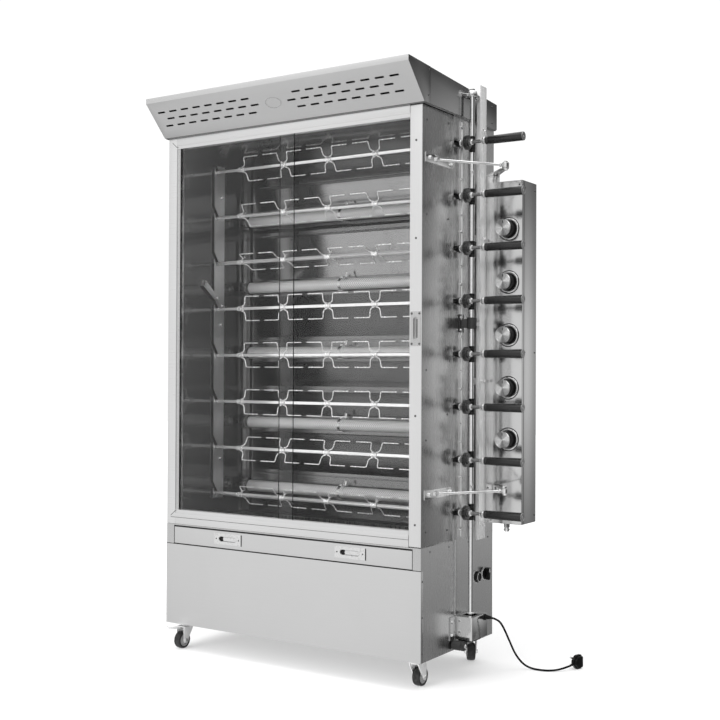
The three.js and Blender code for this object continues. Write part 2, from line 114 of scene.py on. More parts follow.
def put_in_scene(name, data):
    made = bpy.data.objects.new(name, data)
    bpy.context.scene.collection.objects.link(made)
    return made


# ------------------------------------------------------------------ camera
CAMERA_SPOT = (2947.9, -3193.3, 1044.3)
CAMERA_TURN = (33.109, -0.457, 0.247)  # degrees: round to the oven's right, up, and rolled
CAMERA_LENS = 56.735
CAMERA_SHIFT = 0.0033


def set_camera():
    camera = put_in_scene("camera", bpy.data.cameras.new("camera"))
    bpy.context.scene.camera = camera
    camera.data.lens = CAMERA_LENS
    camera.data.sensor_width = 36.0
    camera.data.shift_y = CAMERA_SHIFT
    camera.data.clip_end = 60.0
    azimuth, elevation, roll = (math.radians(a) for a in CAMERA_TURN)
    back = Vector((
        math.sin(azimuth) * math.cos(elevation),
        -math.cos(azimuth) * math.cos(elevation),
        math.sin(elevation),
    ))
    right = (-back).cross(Vector((0, 0, 1))).normalized()
    up = right.cross(-back)
    right_rolled = math.cos(roll) * right + math.sin(roll) * up
    up_rolled = math.cos(roll) * up - math.sin(roll) * right
    turn = Matrix((right_rolled, up_rolled, back)).transposed().to_4x4()
    camera.matrix_world = Matrix.Translation(place(CAMERA_SPOT)) @ turn


set_camera()


# ------------------------------------------------------------------ shader nodes
def node(tree, kind, inputs=None, **settings):
    """A node with its settings made; an input is a value, or another node's output to join."""
    made = tree.nodes.new(kind)
    for name, value in settings.items():
        setattr(made, name, value)
    for key, value in (inputs or {}).items():
        if isinstance(value, bpy.types.NodeSocket):
            tree.links.new(value, made.inputs[key])
        else:
            made.inputs[key].default_value = value
    return made


def new_group(name, inputs, outputs):
    """An empty shader node group, with its input and output nodes."""
    tree = bpy.data.node_groups.new(name, "ShaderNodeTree")
    kinds = {"vector": "NodeSocketVector", "value": "NodeSocketFloat", "colour": "NodeSocketColor"}
    for key, (kind, default) in inputs.items():
        socket = tree.interface.new_socket(key, in_out="INPUT", socket_type=kinds[kind])
        if default is not None:
            socket.default_value = default
    for key, kind in outputs.items():
        tree.interface.new_socket(key, in_out="OUTPUT", socket_type=kinds[kind])
    return tree, tree.nodes.new("NodeGroupInput"), tree.nodes.new("NodeGroupOutput")


def math_node(tree, operation, *values, clamp=False):
    inputs = dict(enumerate(values))
    return node(tree, "ShaderNodeMath", inputs, operation=operation, use_clamp=clamp).outputs[0]


def range_node(tree, value, low, high, new_low, new_high):
    inputs = {0: value, 1: low, 2: high, 3: new_low, 4: new_high}
    return node(tree, "ShaderNodeMapRange", inputs).outputs[0]


def make_grain_group():
    """Fine streaks drawn out along one direction, with slow clouds under them."""
    tree, given, result = new_group(
        "brushed_grain",
        {"Place": ("vector", None), "Stretch": ("vector", (8, 900, 900)), "Cloud Size": ("value", 3.0)},
        {"Streaks": "value", "Clouds": "value"},
    )
    stretched = node(
        tree, "ShaderNodeVectorMath",
        {0: given.outputs["Place"], 1: given.outputs["Stretch"]}, operation="MULTIPLY",
    )
    fine = node(tree, "ShaderNodeTexNoise", {"Vector": stretched.outputs[0], "Scale": 1.0, "Detail": 2.0})
    broad = node(
        tree, "ShaderNodeTexNoise",
        {"Vector": given.outputs["Place"], "Scale": given.outputs["Cloud Size"], "Detail": 3.0},
    )
    tree.links.new(fine.outputs[0], result.inputs["Streaks"])
    tree.links.new(broad.outputs[0], result.inputs["Clouds"])
    return tree


def make_weave_group():
    """Two families of thin wires round a tube, crossing at a slant; 1 on a wire and 0 in a hole."""
    tree, given, result = new_group(
        "wire_weave",
        {"Along": ("value", 0.0), "Round": ("value", 0.0), "Pitch": ("value", 0.004)},
        {"Wire": "value"},
    )
    ridges = []
    for operation in ("ADD", "SUBTRACT"):
        slant = math_node(tree, operation, given.outputs["Along"], given.outputs["Round"])
        phase = math_node(tree, "DIVIDE", slant, given.outputs["Pitch"])
        wave = math_node(tree, "SINE", math_node(tree, "MULTIPLY", phase, 2 * math.pi))
        ridges.append(math_node(tree, "MULTIPLY_ADD", wave, 0.5, 0.5))
    wire = math_node(tree, "MAXIMUM", *ridges)
    sharp = range_node(tree, wire, 0.35, 0.85, 0.0, 1.0)
    tree.links.new(sharp, result.inputs["Wire"])
    return tree


def make_dust_group():
    """Pale dust that lies thicker low down and in patches; 1 where it is thickest."""
    tree, given, result = new_group(
        "floor_dust",
        {"Place": ("vector", None), "Height": ("value", 0.05), "Amount": ("value", 0.5)},
        {"Dust": "value"},
    )
    level = node(tree, "ShaderNodeSeparateXYZ", {0: given.outputs["Place"]}).outputs["Z"]
    share = math_node(tree, "DIVIDE", level, given.outputs["Height"])
    low = math_node(tree, "SUBTRACT", 1.0, share, clamp=True)
    patchy = {"Vector": given.outputs["Place"], "Scale": 90.0, "Detail": 3.0}
    patches = node(tree, "ShaderNodeTexNoise", patchy)
    spotted = math_node(tree, "MULTIPLY", low, range_node(tree, patches.outputs[0], 0.4, 0.65, 0.0, 1.0))
    tree.links.new(math_node(tree, "MULTIPLY", spotted, given.outputs["Amount"]), result.inputs["Dust"])
    return tree


def make_scuff_group():
    """Small scattered marks from handling; 1 on a mark."""
    tree, given, result = new_group(
        "handling_marks",
        {"Place": ("vector", None), "Size": ("value", 60.0), "Cover": ("value", 0.35)},
        {"Marks": "value"},
    )
    spots = node(
        tree, "ShaderNodeTexNoise",
        {"Vector": given.outputs["Place"], "Scale": given.outputs["Size"], "Detail": 6.0, "Roughness": 0.7},
    )
    edge = math_node(tree, "SUBTRACT", 1.0, given.outputs["Cover"])
    lifted = math_node(tree, "SUBTRACT", spots.outputs[0], math_node(tree, "MULTIPLY", edge, 0.9))
    tree.links.new(math_node(tree, "MULTIPLY", lifted, 6.0, clamp=True), result.inputs["Marks"])
    return tree


GRAIN = make_grain_group()
WEAVE = make_weave_group()
DUST = make_dust_group()
SCUFF = make_scuff_group()


def new_finish(name, **constants):
    """A material with a Principled shader whose plain values are set on its own sockets."""
    made = bpy.data.materials.new(name)
    made.use_nodes = True
    tree = made.node_tree
    shader = tree.nodes["Principled BSDF"]
    for key, value in constants.items():
        shader.inputs[key.replace("_", " ")].default_value = value
    coordinates = tree.nodes.new("ShaderNodeTexCoord").outputs["Object"]
    return made, tree, shader, coordinates


def group_node(tree, group, **inputs):
    made = node(tree, "ShaderNodeGroup", node_tree=group)
    for key, value in inputs.items():
        socket = made.inputs[key.replace("_", " ")]
        if isinstance(value, bpy.types.NodeSocket):
            tree.links.new(value, socket)
        else:
            socket.default_value = value
    return made


MIX_FACTOR, MIX_LOW, MIX_HIGH, MIX_RESULT = 0, 6, 7, 2  # a Mix node's sockets when it mixes colours


def tint(tree, factor, low, high):
    """A colour between two greys or colours by a factor that changes over the surface."""
    colours = [(c, c, c, 1.0) if isinstance(c, float) else (*c, 1.0) for c in (low, high)]
    inputs = {MIX_FACTOR: factor, MIX_LOW: colours[0], MIX_HIGH: colours[1]}
    return node(tree, "ShaderNodeMix", inputs, data_type="RGBA").outputs[MIX_RESULT]


def raise_surface(tree, shader, height, depth, strength=0.3):
    bump = node(tree, "ShaderNodeBump", {"Height": height, "Distance": depth, "Strength": strength})
    tree.links.new(bump.outputs[0], shader.inputs["Normal"])


def vary(tree, shader, factor, tones, roughnesses):
    """Runs the colour between two tones, and the roughness between two values, by one factor."""
    tree.links.new(tint(tree, factor, *tones), shader.inputs["Base Color"])
    tree.links.new(range_node(tree, factor, 0.0, 1.0, *roughnesses), shader.inputs["Roughness"])


STRETCHES = {"x": (7, 700, 700), "y": (700, 7, 700), "z": (700, 700, 7)}


def sheet_steel(name, tone, roughness, grain, contrast=0.05, cloud=2.5, depth=0.12, metal=1.0):
    """Brushed stainless sheet whose grain runs along one axis."""
    made, tree, shader, where = new_finish(name, Metallic=metal)
    streaks = group_node(tree, GRAIN, Place=where, Stretch=STRETCHES[grain], Cloud_Size=cloud)
    shade = math_node(tree, "ADD", streaks.outputs["Streaks"], streaks.outputs["Clouds"])
    half = math_node(tree, "MULTIPLY", shade, 0.5)
    low, high = tone * (1 - contrast), min(1.0, tone * (1 + contrast))
    blend = range_node(tree, half, 0.3, 0.7, 0.0, 1.0)
    tree.links.new(tint(tree, blend, low, high), shader.inputs["Base Color"])
    fingers = group_node(tree, SCUFF, Place=where, Size=9.0, Cover=0.42).outputs["Marks"]
    rough = range_node(tree, streaks.outputs["Streaks"], 0.3, 0.7, roughness - 0.05, roughness + 0.05)
    marked = math_node(tree, "MULTIPLY_ADD", fingers, 0.04, rough)
    tree.links.new(marked, shader.inputs["Roughness"])
    raise_surface(tree, shader, streaks.outputs["Streaks"], 0.0001, depth)
    return made


def plated_steel(name, tone, roughness, scratch=0.06, metal=1.0):
    """Bright plated or ground steel with faint handling marks."""
    made, tree, shader, where = new_finish(name, Metallic=metal)
    marks = group_node(tree, SCUFF, Place=where, Size=140.0, Cover=0.45).outputs["Marks"]
    vary(tree, shader, marks, (tone, tone * (1 - 2.5 * scratch)), (roughness, roughness + 0.14))
    return made


def moulded_plastic(name, tone, roughness, coat=0.0, sheen=0.5):
    """Moulded plastic, or paint or lacquer, with a fine skin."""
    made, tree, shader, where = new_finish(
        name, Coat_Weight=coat, Coat_Roughness=0.06, Coat_IOR=1.7, Specular_IOR_Level=sheen,
    )
    marks = group_node(tree, SCUFF, Place=where, Size=220.0, Cover=0.4).outputs["Marks"]
    vary(tree, shader, marks, (tone, tone * 1.8 + 0.002), (roughness, roughness + 0.15))
    skin = node(tree, "ShaderNodeTexNoise", {"Vector": where, "Scale": 900.0, "Detail": 2.0})
    raise_surface(tree, shader, skin.outputs[0], 0.00008, 0.2)
    return made


def tyre_rubber():
    made, tree, shader, where = new_finish("tyre_rubber")
    dust = group_node(tree, DUST, Place=where, Height=0.07, Amount=0.7).outputs["Dust"]
    vary(tree, shader, dust, (0.006, 0.06), (0.42, 0.8))
    return made


def burner_mesh():
    """Fine woven wire over a burner tube; the weave follows the tube's own round attribute."""
    made, tree, shader, where = new_finish("burner_mesh", Metallic=0.1)
    along = node(tree, "ShaderNodeSeparateXYZ", {0: where}).outputs["X"]
    around = node(tree, "ShaderNodeAttribute", attribute_name="round_length").outputs["Fac"]
    wire = group_node(tree, WEAVE, Along=along, Round=around, Pitch=0.0088).outputs["Wire"]
    vary(tree, shader, wire, (0.06, 0.62), (0.7, 0.34))
    raise_surface(tree, shader, wire, 0.0012, 0.8)
    return made


def dial_face():
    """Turned aluminium: fine rings round the knob's own centre in the roughness, and a soft two-way painted
    sheen: light and dark sectors painted into the colour by the angle round the centre.
    """
    made, tree, shader, _ = new_finish("turned_dial", Metallic=1.0)
    local = node(tree, "ShaderNodeAttribute", attribute_name="dial_place")
    parts = node(tree, "ShaderNodeSeparateXYZ", {0: local.outputs["Vector"]})
    angle = math_node(tree, "ARCTAN2", parts.outputs["Z"], parts.outputs["X"])
    # Painted sheen: two broad and five narrow light and dark sectors round the centre, in the colour.
    painted_sheen_broad = math_node(tree, "SINE", math_node(tree, "MULTIPLY_ADD", angle, 2.0, 0.9))
    painted_sheen_fine = math_node(tree, "SINE", math_node(tree, "MULTIPLY_ADD", angle, 5.0, 0.2))
    both = math_node(tree, "MULTIPLY_ADD", painted_sheen_fine, 0.35, painted_sheen_broad)
    blend = range_node(tree, both, -1.0, 1.0, 0.0, 1.0)
    tree.links.new(tint(tree, blend, 0.3, 1.0), shader.inputs["Base Color"])
    radius = node(tree, "ShaderNodeVectorMath", {0: local.outputs["Vector"]}, operation="LENGTH")
    rings = math_node(tree, "SINE", math_node(tree, "MULTIPLY", radius.outputs["Value"], 9000.0))
    tree.links.new(range_node(tree, rings, -1.0, 1.0, 0.2, 0.3), shader.inputs["Roughness"])
    return made


def clear_glass():
    """Clear pane: what it mirrors grows towards the edge of view, and the rest shows through."""
    made, tree, shader, where = new_finish("pane_glass", Metallic=1.0)
    facing = node(tree, "ShaderNodeLayerWeight", {"Blend": 0.3}).outputs["Fresnel"]
    tree.links.new(range_node(tree, facing, 0.0, 1.0, 0.001, 0.36), shader.inputs["Alpha"])
    haze = group_node(tree, SCUFF, Place=where, Size=4.0, Cover=0.4).outputs["Marks"]
    vary(tree, shader, haze, (0.8, 0.88), (0.02, 0.07))
    return made


def glass_edge():
    made, tree, shader, where = new_finish("pane_edge")
    chips = group_node(tree, SCUFF, Place=where, Size=30.0, Cover=0.4).outputs["Marks"]
    vary(tree, shader, chips, (0.015, 0.06), (0.12, 0.3))
    return made


FRONT_STEEL = sheet_steel("front_steel", 0.76, 0.40, "x", 0.03)
SIDE_STEEL = sheet_steel("side_steel", 0.62, 0.26, "z", 0.07)
DOOR_STEEL = sheet_steel("door_steel", 0.86, 0.36, "z", 0.04)
CONTROL_STEEL = sheet_steel("control_steel", 0.7, 0.15, "x", 0.03)
COLUMN_STEEL = sheet_steel("column_steel", 0.88, 0.24, "z", 0.04, metal=0.45)
# Painted shade: a much darker copy of the steel for the hood's left and right faces.
HOOD_SIDE_PAINTED_SHADE_STEEL = sheet_steel("hood_side_steel", 0.32, 0.16, "z", 0.1, 4.0)
WALL_STEEL = sheet_steel("wall_steel", 0.11, 0.1, "y", 0.12, 3.0, 0.02)
RACK_STEEL = sheet_steel("rack_steel", 0.85, 0.42, "z", 0.08)
FRAME_STEEL = sheet_steel("frame_steel", 0.84, 0.32, "x", 0.04)
CHAMBER_STEEL = sheet_steel("chamber_steel", 0.3, 0.2, "x", 0.08, 3.0, 0.03)
REFLECTOR_STEEL = sheet_steel("reflector_steel", 0.43, 0.16, "x", 0.1, 3.0, 0.03)
# A darker copy of the reflector steel, for the lower rear panels.
LOWER_PANEL_STEEL = sheet_steel("smoked_steel", 0.16, 0.2, "x", 0.12, 3.0, 0.03)
SCREW_STEEL = plated_steel("screw_steel", 0.16, 0.3)
WORN_GEAR = plated_steel("oiled_gear", 0.14, 0.26, 0.2)
ROD_STEEL = plated_steel("spit_steel", 0.96, 0.12, metal=0.72)
SHAFT_STEEL = plated_steel("shaft_steel", 0.94, 0.07)
WIRE_STEEL = plated_steel("fork_wire", 0.96, 0.22, metal=0.7)
BRIGHT_STEEL = plated_steel("bright_steel", 0.84, 0.09)
ZINC = plated_steel("zinc_plate", 0.93, 0.2, 0.04, 0.75)
FORK_STEEL = plated_steel("fork_plate", 0.97, 0.3, 0.03, 0.4)
DARK_STEEL = plated_steel("oiled_steel", 0.05, 0.3, 0.2)
SLEEVE_STEEL = plated_steel("sleeve_steel", 0.3, 0.2, 0.15)
GRIP_END = plated_steel("grip_end", 0.34, 0.3, 0.1)
CAST_IRON = moulded_plastic("painted_casting", 0.03, 0.5)
BLACK_GRIP = moulded_plastic("black_grip", 0.003, 0.22, 0.25, 0.45)
BLACK_PLASTIC = moulded_plastic("black_plastic", 0.003, 0.3, 0.0, 0.25)
GREY_PLASTIC = moulded_plastic("grey_plastic", 0.42, 0.4)
WHITE_PRINT = moulded_plastic("white_print", 0.75, 0.5)
SLOT_SHADOW = moulded_plastic("gap_shadow", 0.004, 0.85)
TYRE = tyre_rubber()
LEAD_RUBBER = moulded_plastic("lead_rubber", 0.002, 0.6, 0.0, 0.15)
BURNER_MESH = burner_mesh()
DIAL = dial_face()
PANE = clear_glass()
PANE_EDGE = glass_edge()


# ------------------------------------------------------------------ mesh making
def lofted(rows, width, joined=False):
    """Faces over rows of points that each close on themselves: capped at both ends, or joined in a loop."""
    last = rows * width
    faces = [] if joined else [tuple(range(width)), tuple(range(last - 1, last - width - 1, -1))]
    for row in range(rows if joined else rows - 1):
        a, b = row * width, (row + 1) % rows * width
        faces += [(a + i, a + (i + 1) % width, b + (i + 1) % width, b + i) for i in range(width)]
    return faces


def spun(profile, start, direction, sides):
    """For each (radius, distance along) of a profile, a row of points round a line."""
    turn = Vector((0, 0, 1)).rotation_difference(Vector(direction)).to_matrix()
    rows = []
    for radius, along in profile:
        angles = [2 * math.pi * side / sides for side in range(sides)]
        row = [Vector((radius * math.cos(angle), radius * math.sin(angle), along)) for angle in angles]
        rows.append([Vector(start) + turn @ spot for spot in row])
    return rows


class Piece:
    """A mesh in the making, in the oven's own millimetres, of parts that each have a finish."""

    def __init__(self, name):
        self.name = name
        self.mesh = bmesh.new()
        self.finishes = []

    def _index(self, finish):
        if finish not in self.finishes:
            self.finishes.append(finish)
        return self.finishes.index(finish)

    def shell(self, points, faces, finish, round_edges=0.0):
        """Faces over points, with their sharp edges rounded if asked."""
        part = bmesh.new()
        made = [part.verts.new(p) for p in points]
        for face in faces:
            part.faces.new([made[i] for i in face])
        bmesh.ops.recalc_face_normals(part, faces=part.faces)
        if round_edges:
            edges = [e for e in part.edges if e.calc_face_angle(0.0) > 0.5]
            bmesh.ops.bevel(
                part, geom=edges, offset=round_edges, segments=2, profile=0.6,
                affect="EDGES", clamp_overlap=True,
            )
        index = self._index(finish)
        for face in part.faces:
            face.material_index = index
        self._take(part)
        return self

    def box(self, x0, x1, y0, y1, z0, z1, finish, round_edges=0.5):
        points = [(x, y, z) for z in (z0, z1) for y in (y0, y1) for x in (x0, x1)]
        faces = [(0, 2, 3, 1), (4, 5, 7, 6), (0, 1, 5, 4), (2, 6, 7, 3), (0, 4, 6, 2), (1, 3, 7, 5)]
        return self.shell(points, faces, finish, round_edges)

    def boxes(self, finish, round_edges, *sizes):
        for size in sizes:
            self.box(*size, finish, round_edges)
        return self

    def prism(self, outline, axis, low, high, finish, round_edges=0.5):
        """A flat outline pushed along an axis: "x" takes (y, z), "y" (x, z) and "z" (x, y)."""
        place_of = {"x": 0, "y": 1, "z": 2}[axis]
        points = [(*spot[:place_of], w, *spot[place_of:]) for w in (low, high) for spot in outline]
        return self.shell(points, lofted(2, len(outline)), finish, round_edges)

    def turned(self, profile, start, direction, finish, sides=24):
        """A profile of (radius, distance along) turned about a line; closed at both ends."""
        points = [point for row in spun(profile, start, direction, sides) for point in row]
        return self.shell(points, lofted(len(profile), sides), finish)

    def ring(self, profile, start, direction, finish, sides=24):
        """A closed profile of (radius, distance along) turned about a line, open through its middle."""
        points = [point for column in zip(*spun(profile, start, direction, sides)) for point in column]
        return self.shell(points, lofted(sides, len(profile), joined=True), finish)

    def rod(self, start, end, radius, finish, sides=16, rim=0.6):
        """A round bar between two points with eased ends."""
        length = (Vector(end) - Vector(start)).length
        rim = min(rim, radius * 0.5, length * 0.3)
        profile = [(radius - rim, 0), (radius, rim), (radius, length - rim), (radius - rim, length)]
        return self.turned(profile, start, (Vector(end) - Vector(start)).normalized(), finish, sides)

    def nut(self, centre, direction, across, height, finish):
        """A hexagon nut or bolt head with chamfered corners, its base at the centre."""
        reach = across / math.sqrt(3)
        profile = [(reach, 0), (reach, height * 0.8), (reach * 0.88, height)]
        return self.turned(profile, centre, direction, finish, 6)

    def dome(self, centre, direction, radius, height, finish, sides=12):
        steps = 4
        profile = [(radius, 0)]
        for step in range(1, steps + 1):
            angle = math.pi / 2 * step / (steps + 0.4)
            profile.append((radius * math.cos(angle), height * math.sin(angle)))
        return self.turned(profile, centre, direction, finish, sides)

    def wire(self, points, radius, finish, sides=8):
        """A round wire through points, with closed ends and no twist."""
        path = [Vector(p) for p in points]
        tangents = []
        for i in range(len(path)):
            tangents.append((path[min(i + 1, len(path) - 1)] - path[max(i - 1, 0)]).normalized())
        side_way = tangents[0].orthogonal().normalized()
        rings = []
        for spot, tangent in zip(path, tangents):
            side_way = (side_way - tangent * side_way.dot(tangent)).normalized()
            other = tangent.cross(side_way)
            for i in range(sides):
                angle = 2 * math.pi * i / sides
                rings.append(spot + radius * (math.cos(angle) * side_way + math.sin(angle) * other))
        return self.shell(rings, lofted(len(path), sides), finish)

    def carve(self, *cutters):
        """Takes closed pieces out of this one, exactly."""
        for cutter in cutters:
            whole, tool = self._as_object(), cutter._as_object()
            cut = whole.modifiers.new("cut", "BOOLEAN")
            cut.operation = "DIFFERENCE"
            cut.solver = "EXACT"
            cut.object = tool
            self.mesh = bmesh.new()
            settled = flatten(whole)
            self.mesh.from_mesh(settled.data)
            bpy.data.objects.remove(settled)
            bpy.data.objects.remove(tool)
        return self

    def _as_object(self):
        data = bpy.data.meshes.new(self.name)
        for finish in self.finishes:
            data.materials.append(finish)
        self.mesh.to_mesh(data)
        self.mesh.free()
        return put_in_scene(self.name, data)

    def join(self, part):
        """Adds another piece's mesh to this one, keeping each face's finish."""
        places = {part.finishes.index(finish): self._index(finish) for finish in part.finishes}
        for face in part.mesh.faces:
            face.material_index = places[face.material_index]
        self._take(part.mesh)
        return self

    def _take(self, mesh):
        kept = bpy.data.meshes.new("part")
        mesh.to_mesh(kept)
        mesh.free()
        self.mesh.from_mesh(kept)
        bpy.data.meshes.remove(kept)

    def add_mesh(self, grown, finish):
        """Adds what a geometry tree grew, in one finish."""
        index, before = self._index(finish), len(self.mesh.faces)
        self.mesh.from_mesh(grown.data)
        self.mesh.faces.ensure_lookup_table()
        for face in self.mesh.faces[before:]:
            face.material_index = index
        bpy.data.objects.remove(grown)

    def move(self, turn):
        """Turns or moves everything made so far by a matrix."""
        self.mesh.transform(turn)
        return self

    def stamp(self):
        """The finished mesh kept out of sight, as the thing that a geometry tree repeats."""
        made = self._as_object()
        shade(made.data)
        made.hide_render = True
        return made

    def done(self, body, slot, *replaced):
        return take_home(self._as_object(), body, slot, *replaced)


def shade(data, limit=math.radians(32)):
    """Smooth faces, with an edge left sharp where two of them meet at more than the limit."""
    work = bmesh.new()
    work.from_mesh(data)
    for face in work.faces:
        face.smooth = True
    for edge in work.edges:
        edge.smooth = edge.calc_face_angle(0.0) < limit
    work.to_mesh(data)
    work.free()


def settle(made, body, slot, *replaced):
    """Puts a finished object on its body and hides the frame's parts that it takes the place of."""
    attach(made, body)
    if replaced:
        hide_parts(*replaced)
    return made


def take_home(made, body, slot, *replaced):
    """Moves what was made in millimetres to its place in the frame, and settles it."""
    made.data.transform(Matrix.Scale(MM, 4) @ Matrix.Translation(-MIDDLE))
    if made.data.attributes.get("turn"):
        made.data.attributes.remove(made.data.attributes["turn"])
    shade(made.data)
    return settle(made, body, slot, *replaced)


def flatten(made):
    """The object with its modifiers applied, as a plain mesh of the same name."""
    name = made.name
    bpy.context.view_layer.update()
    graph = bpy.context.evaluated_depsgraph_get()
    data = bpy.data.meshes.new_from_object(made.evaluated_get(graph))
    bpy.data.objects.remove(made)
    return put_in_scene(name, data)


# ------------------------------------------------------------------ geometry trees
def new_tree(name, inputs):
    """A geometry tree with its named inputs, and the node that gives their values."""
    tree = bpy.data.node_groups.new(name, "GeometryNodeTree")
    kinds = {
        "mesh": "NodeSocketGeometry", "number": "NodeSocketFloat", "count": "NodeSocketInt",
        "vector": "NodeSocketVector", "object": "NodeSocketObject", "finish": "NodeSocketMaterial",
    }
    for key, kind in inputs.items():
        tree.interface.new_socket(key, in_out="INPUT", socket_type=kinds[kind])
    tree.interface.new_socket("Made", in_out="OUTPUT", socket_type="NodeSocketGeometry")
    return tree, tree.nodes.new("NodeGroupInput").outputs


def end_tree(tree, given, geometry):
    """Every tree ends in real geometry with its finish set."""
    real = node(tree, "GeometryNodeRealizeInstances", {0: geometry}).outputs[0]
    finished = node(tree, "GeometryNodeSetMaterial", {"Geometry": real, "Material": given["Finish"]})
    tree.links.new(finished.outputs[0], tree.nodes.new("NodeGroupOutput").inputs[0])
    return tree


def make_scatter_tree():
    """Sets a stamp on every point of a mesh, turned by the point's own "turn" angles."""
    inputs = {"Points": "mesh", "Stamp": "object", "Size": "number", "Finish": "finish"}
    tree, given = new_tree("set_on_points", inputs)
    stamp = node(tree, "GeometryNodeObjectInfo", {"Object": given["Stamp"]})
    turn = node(tree, "GeometryNodeInputNamedAttribute", {"Name": "turn"}, data_type="FLOAT_VECTOR")
    rotation = node(tree, "FunctionNodeEulerToRotation", {0: turn.outputs[0]}).outputs[0]
    scale = node(tree, "ShaderNodeCombineXYZ", dict.fromkeys(range(3), given["Size"])).outputs[0]
    spread = node(
        tree, "GeometryNodeInstanceOnPoints",
        {
            "Points": given["Points"], "Instance": stamp.outputs["Geometry"], "Rotation": rotation,
            "Scale": scale,
        },
    )
    return end_tree(tree, given, spread.outputs[0])


def make_row_tree():
    """A row of one stamp: a count of them, each a step after the last."""
    inputs = {"Points": "mesh", "Stamp": "object", "Count": "count", "Start": "vector", "Step": "vector"}
    tree, given = new_tree("row_of_stamps", {**inputs, "Finish": "finish"})
    line = node(
        tree, "GeometryNodeMeshLine",
        {"Count": given["Count"], "Start Location": given["Start"], "Offset": given["Step"]},
        mode="OFFSET",
    )
    stamp = node(tree, "GeometryNodeObjectInfo", {"Object": given["Stamp"]})
    spread = node(
        tree, "GeometryNodeInstanceOnPoints",
        {"Points": line.outputs[0], "Instance": stamp.outputs["Geometry"]},
    )
    return end_tree(tree, given, spread.outputs[0])


def make_thread_tree():
    """A round-crested thread wound on an upright shaft at the middle of the tree's own axes."""
    inputs = {
        "Points": "mesh", "Radius": "number", "Length": "number", "Turns": "number", "Crest": "number",
    }
    tree, given = new_tree("worm_thread", {**inputs, "Finish": "finish"})
    spiral = node(
        tree, "GeometryNodeCurveSpiral",
        {
            "Resolution": 22, "Rotations": given["Turns"], "Start Radius": given["Radius"],
            "End Radius": given["Radius"], "Height": given["Length"],
        },
    )
    crest = node(tree, "GeometryNodeCurvePrimitiveCircle", {"Resolution": 6, "Radius": given["Crest"]})
    swept = node(
        tree, "GeometryNodeCurveToMesh",
        {"Curve": spiral.outputs[0], "Profile Curve": crest.outputs[0], "Fill Caps": True},
    )
    return end_tree(tree, given, swept.outputs[0])


SET_ON_POINTS = make_scatter_tree()
ROW_OF_STAMPS = make_row_tree()
WORM_THREAD = make_thread_tree()


def grow(tree, name, points=(), turns=(), **inputs):
    """Runs a geometry tree on bare points and gives back its plain mesh, still in millimetres."""
    data = bpy.data.meshes.new(name)
    data.from_pydata([tuple(p) for p in points], [], [])
    if turns:
        attribute = data.attributes.new("turn", "FLOAT_VECTOR", "POINT")
        for i, turn in enumerate(turns):
            attribute.data[i].vector = turn
    made = put_in_scene(name, data)
    growth = made.modifiers.new(tree.name, "NODES")
    growth.node_group = tree
    sockets = {item.name: item.identifier for item in tree.interface.items_tree if item.in_out == "INPUT"}
    for key, value in inputs.items():
        growth[sockets[key]] = value
    return flatten(made)


def facing(direction, spin=0.0):
    """The angles that turn a stamp made along +z to face a direction, after spinning it on itself."""
    turn = Vector((0, 0, 1)).rotation_difference(Vector(direction)).to_matrix()
    return tuple((turn @ Matrix.Rotation(spin, 3, "Z")).to_euler())


def screw_stamp():
    """A pan-head screw with a cross recess, 8 mm across, standing on z = 0."""
    head = Piece("stamp_screw").dome((0, 0, 0), UP, 4.0, 2.2, BRIGHT_STEEL, 14)
    head.carve(
        Piece("slot").box(-2.2, 2.2, -0.45, 0.45, 1.1, 3, BRIGHT_STEEL, 0),
        Piece("slot").box(-0.45, 0.45, -2.2, 2.2, 1.1, 3, BRIGHT_STEEL, 0),
    )
    return head.stamp()


def bolt_stamp():
    """A hexagon bolt head on a washer, 13 mm across the flats."""
    head = Piece("stamp_bolt").turned([(8, 0), (8.6, 0.5), (8.6, 1.4), (7, 1.6)], (0, 0, 0), UP, ZINC, 18)
    head.nut((0, 0, 1.4), UP, 13, 5.5, BRIGHT_STEEL)
    head.dome((0, 0, 6.8), UP, 3.4, 1.2, BRIGHT_STEEL, 10)
    return head.stamp()


SCREW = screw_stamp()
BOLT = bolt_stamp()


def fasten(name, stamp, body, slot, spots, size=1.0):
    """Sets a screw or bolt at each (x, y, z, direction), each spun a little differently."""
    points = [spot[:3] for spot in spots]
    turns = [facing(spot[3], spin=0.7 * i) for i, spot in enumerate(spots)]
    finish = SCREW_STEEL if stamp is SCREW else BRIGHT_STEEL
    made = grow(SET_ON_POINTS, name, points, turns, Stamp=stamp, Size=size, Finish=finish)
    return take_home(made, body, slot)


# ------------------------------------------------------------------ mains lead and plug
LEAD_ROUTE = (
    (1189.4, 326, 200), (1200, 327.5, 199), (1210, 333, 195), (1218, 344, 186), (1222, 359, 170),
    (1224, 376, 149), (1226, 394, 124), (1228, 412, 99), (1230, 429, 75), (1234, 445, 53),
    (1241, 459, 34), (1251, 470, 19), (1265, 478, 9), (1283, 481, 4.5), (1303, 481, 4),
    (1323, 484, 4), (1342, 492, 4.5), (1359, 505, 6), (1373, 521, 9), (1385, 539, 13),
    (1394, 552, 17), (1398, 560, 20),
)
GLAND_Y, GLAND_Z = LEAD_ROUTE[0][1:]
LEAD_DIAMETER = 0.007
PLUG_ANGLE = math.radians(17.5)


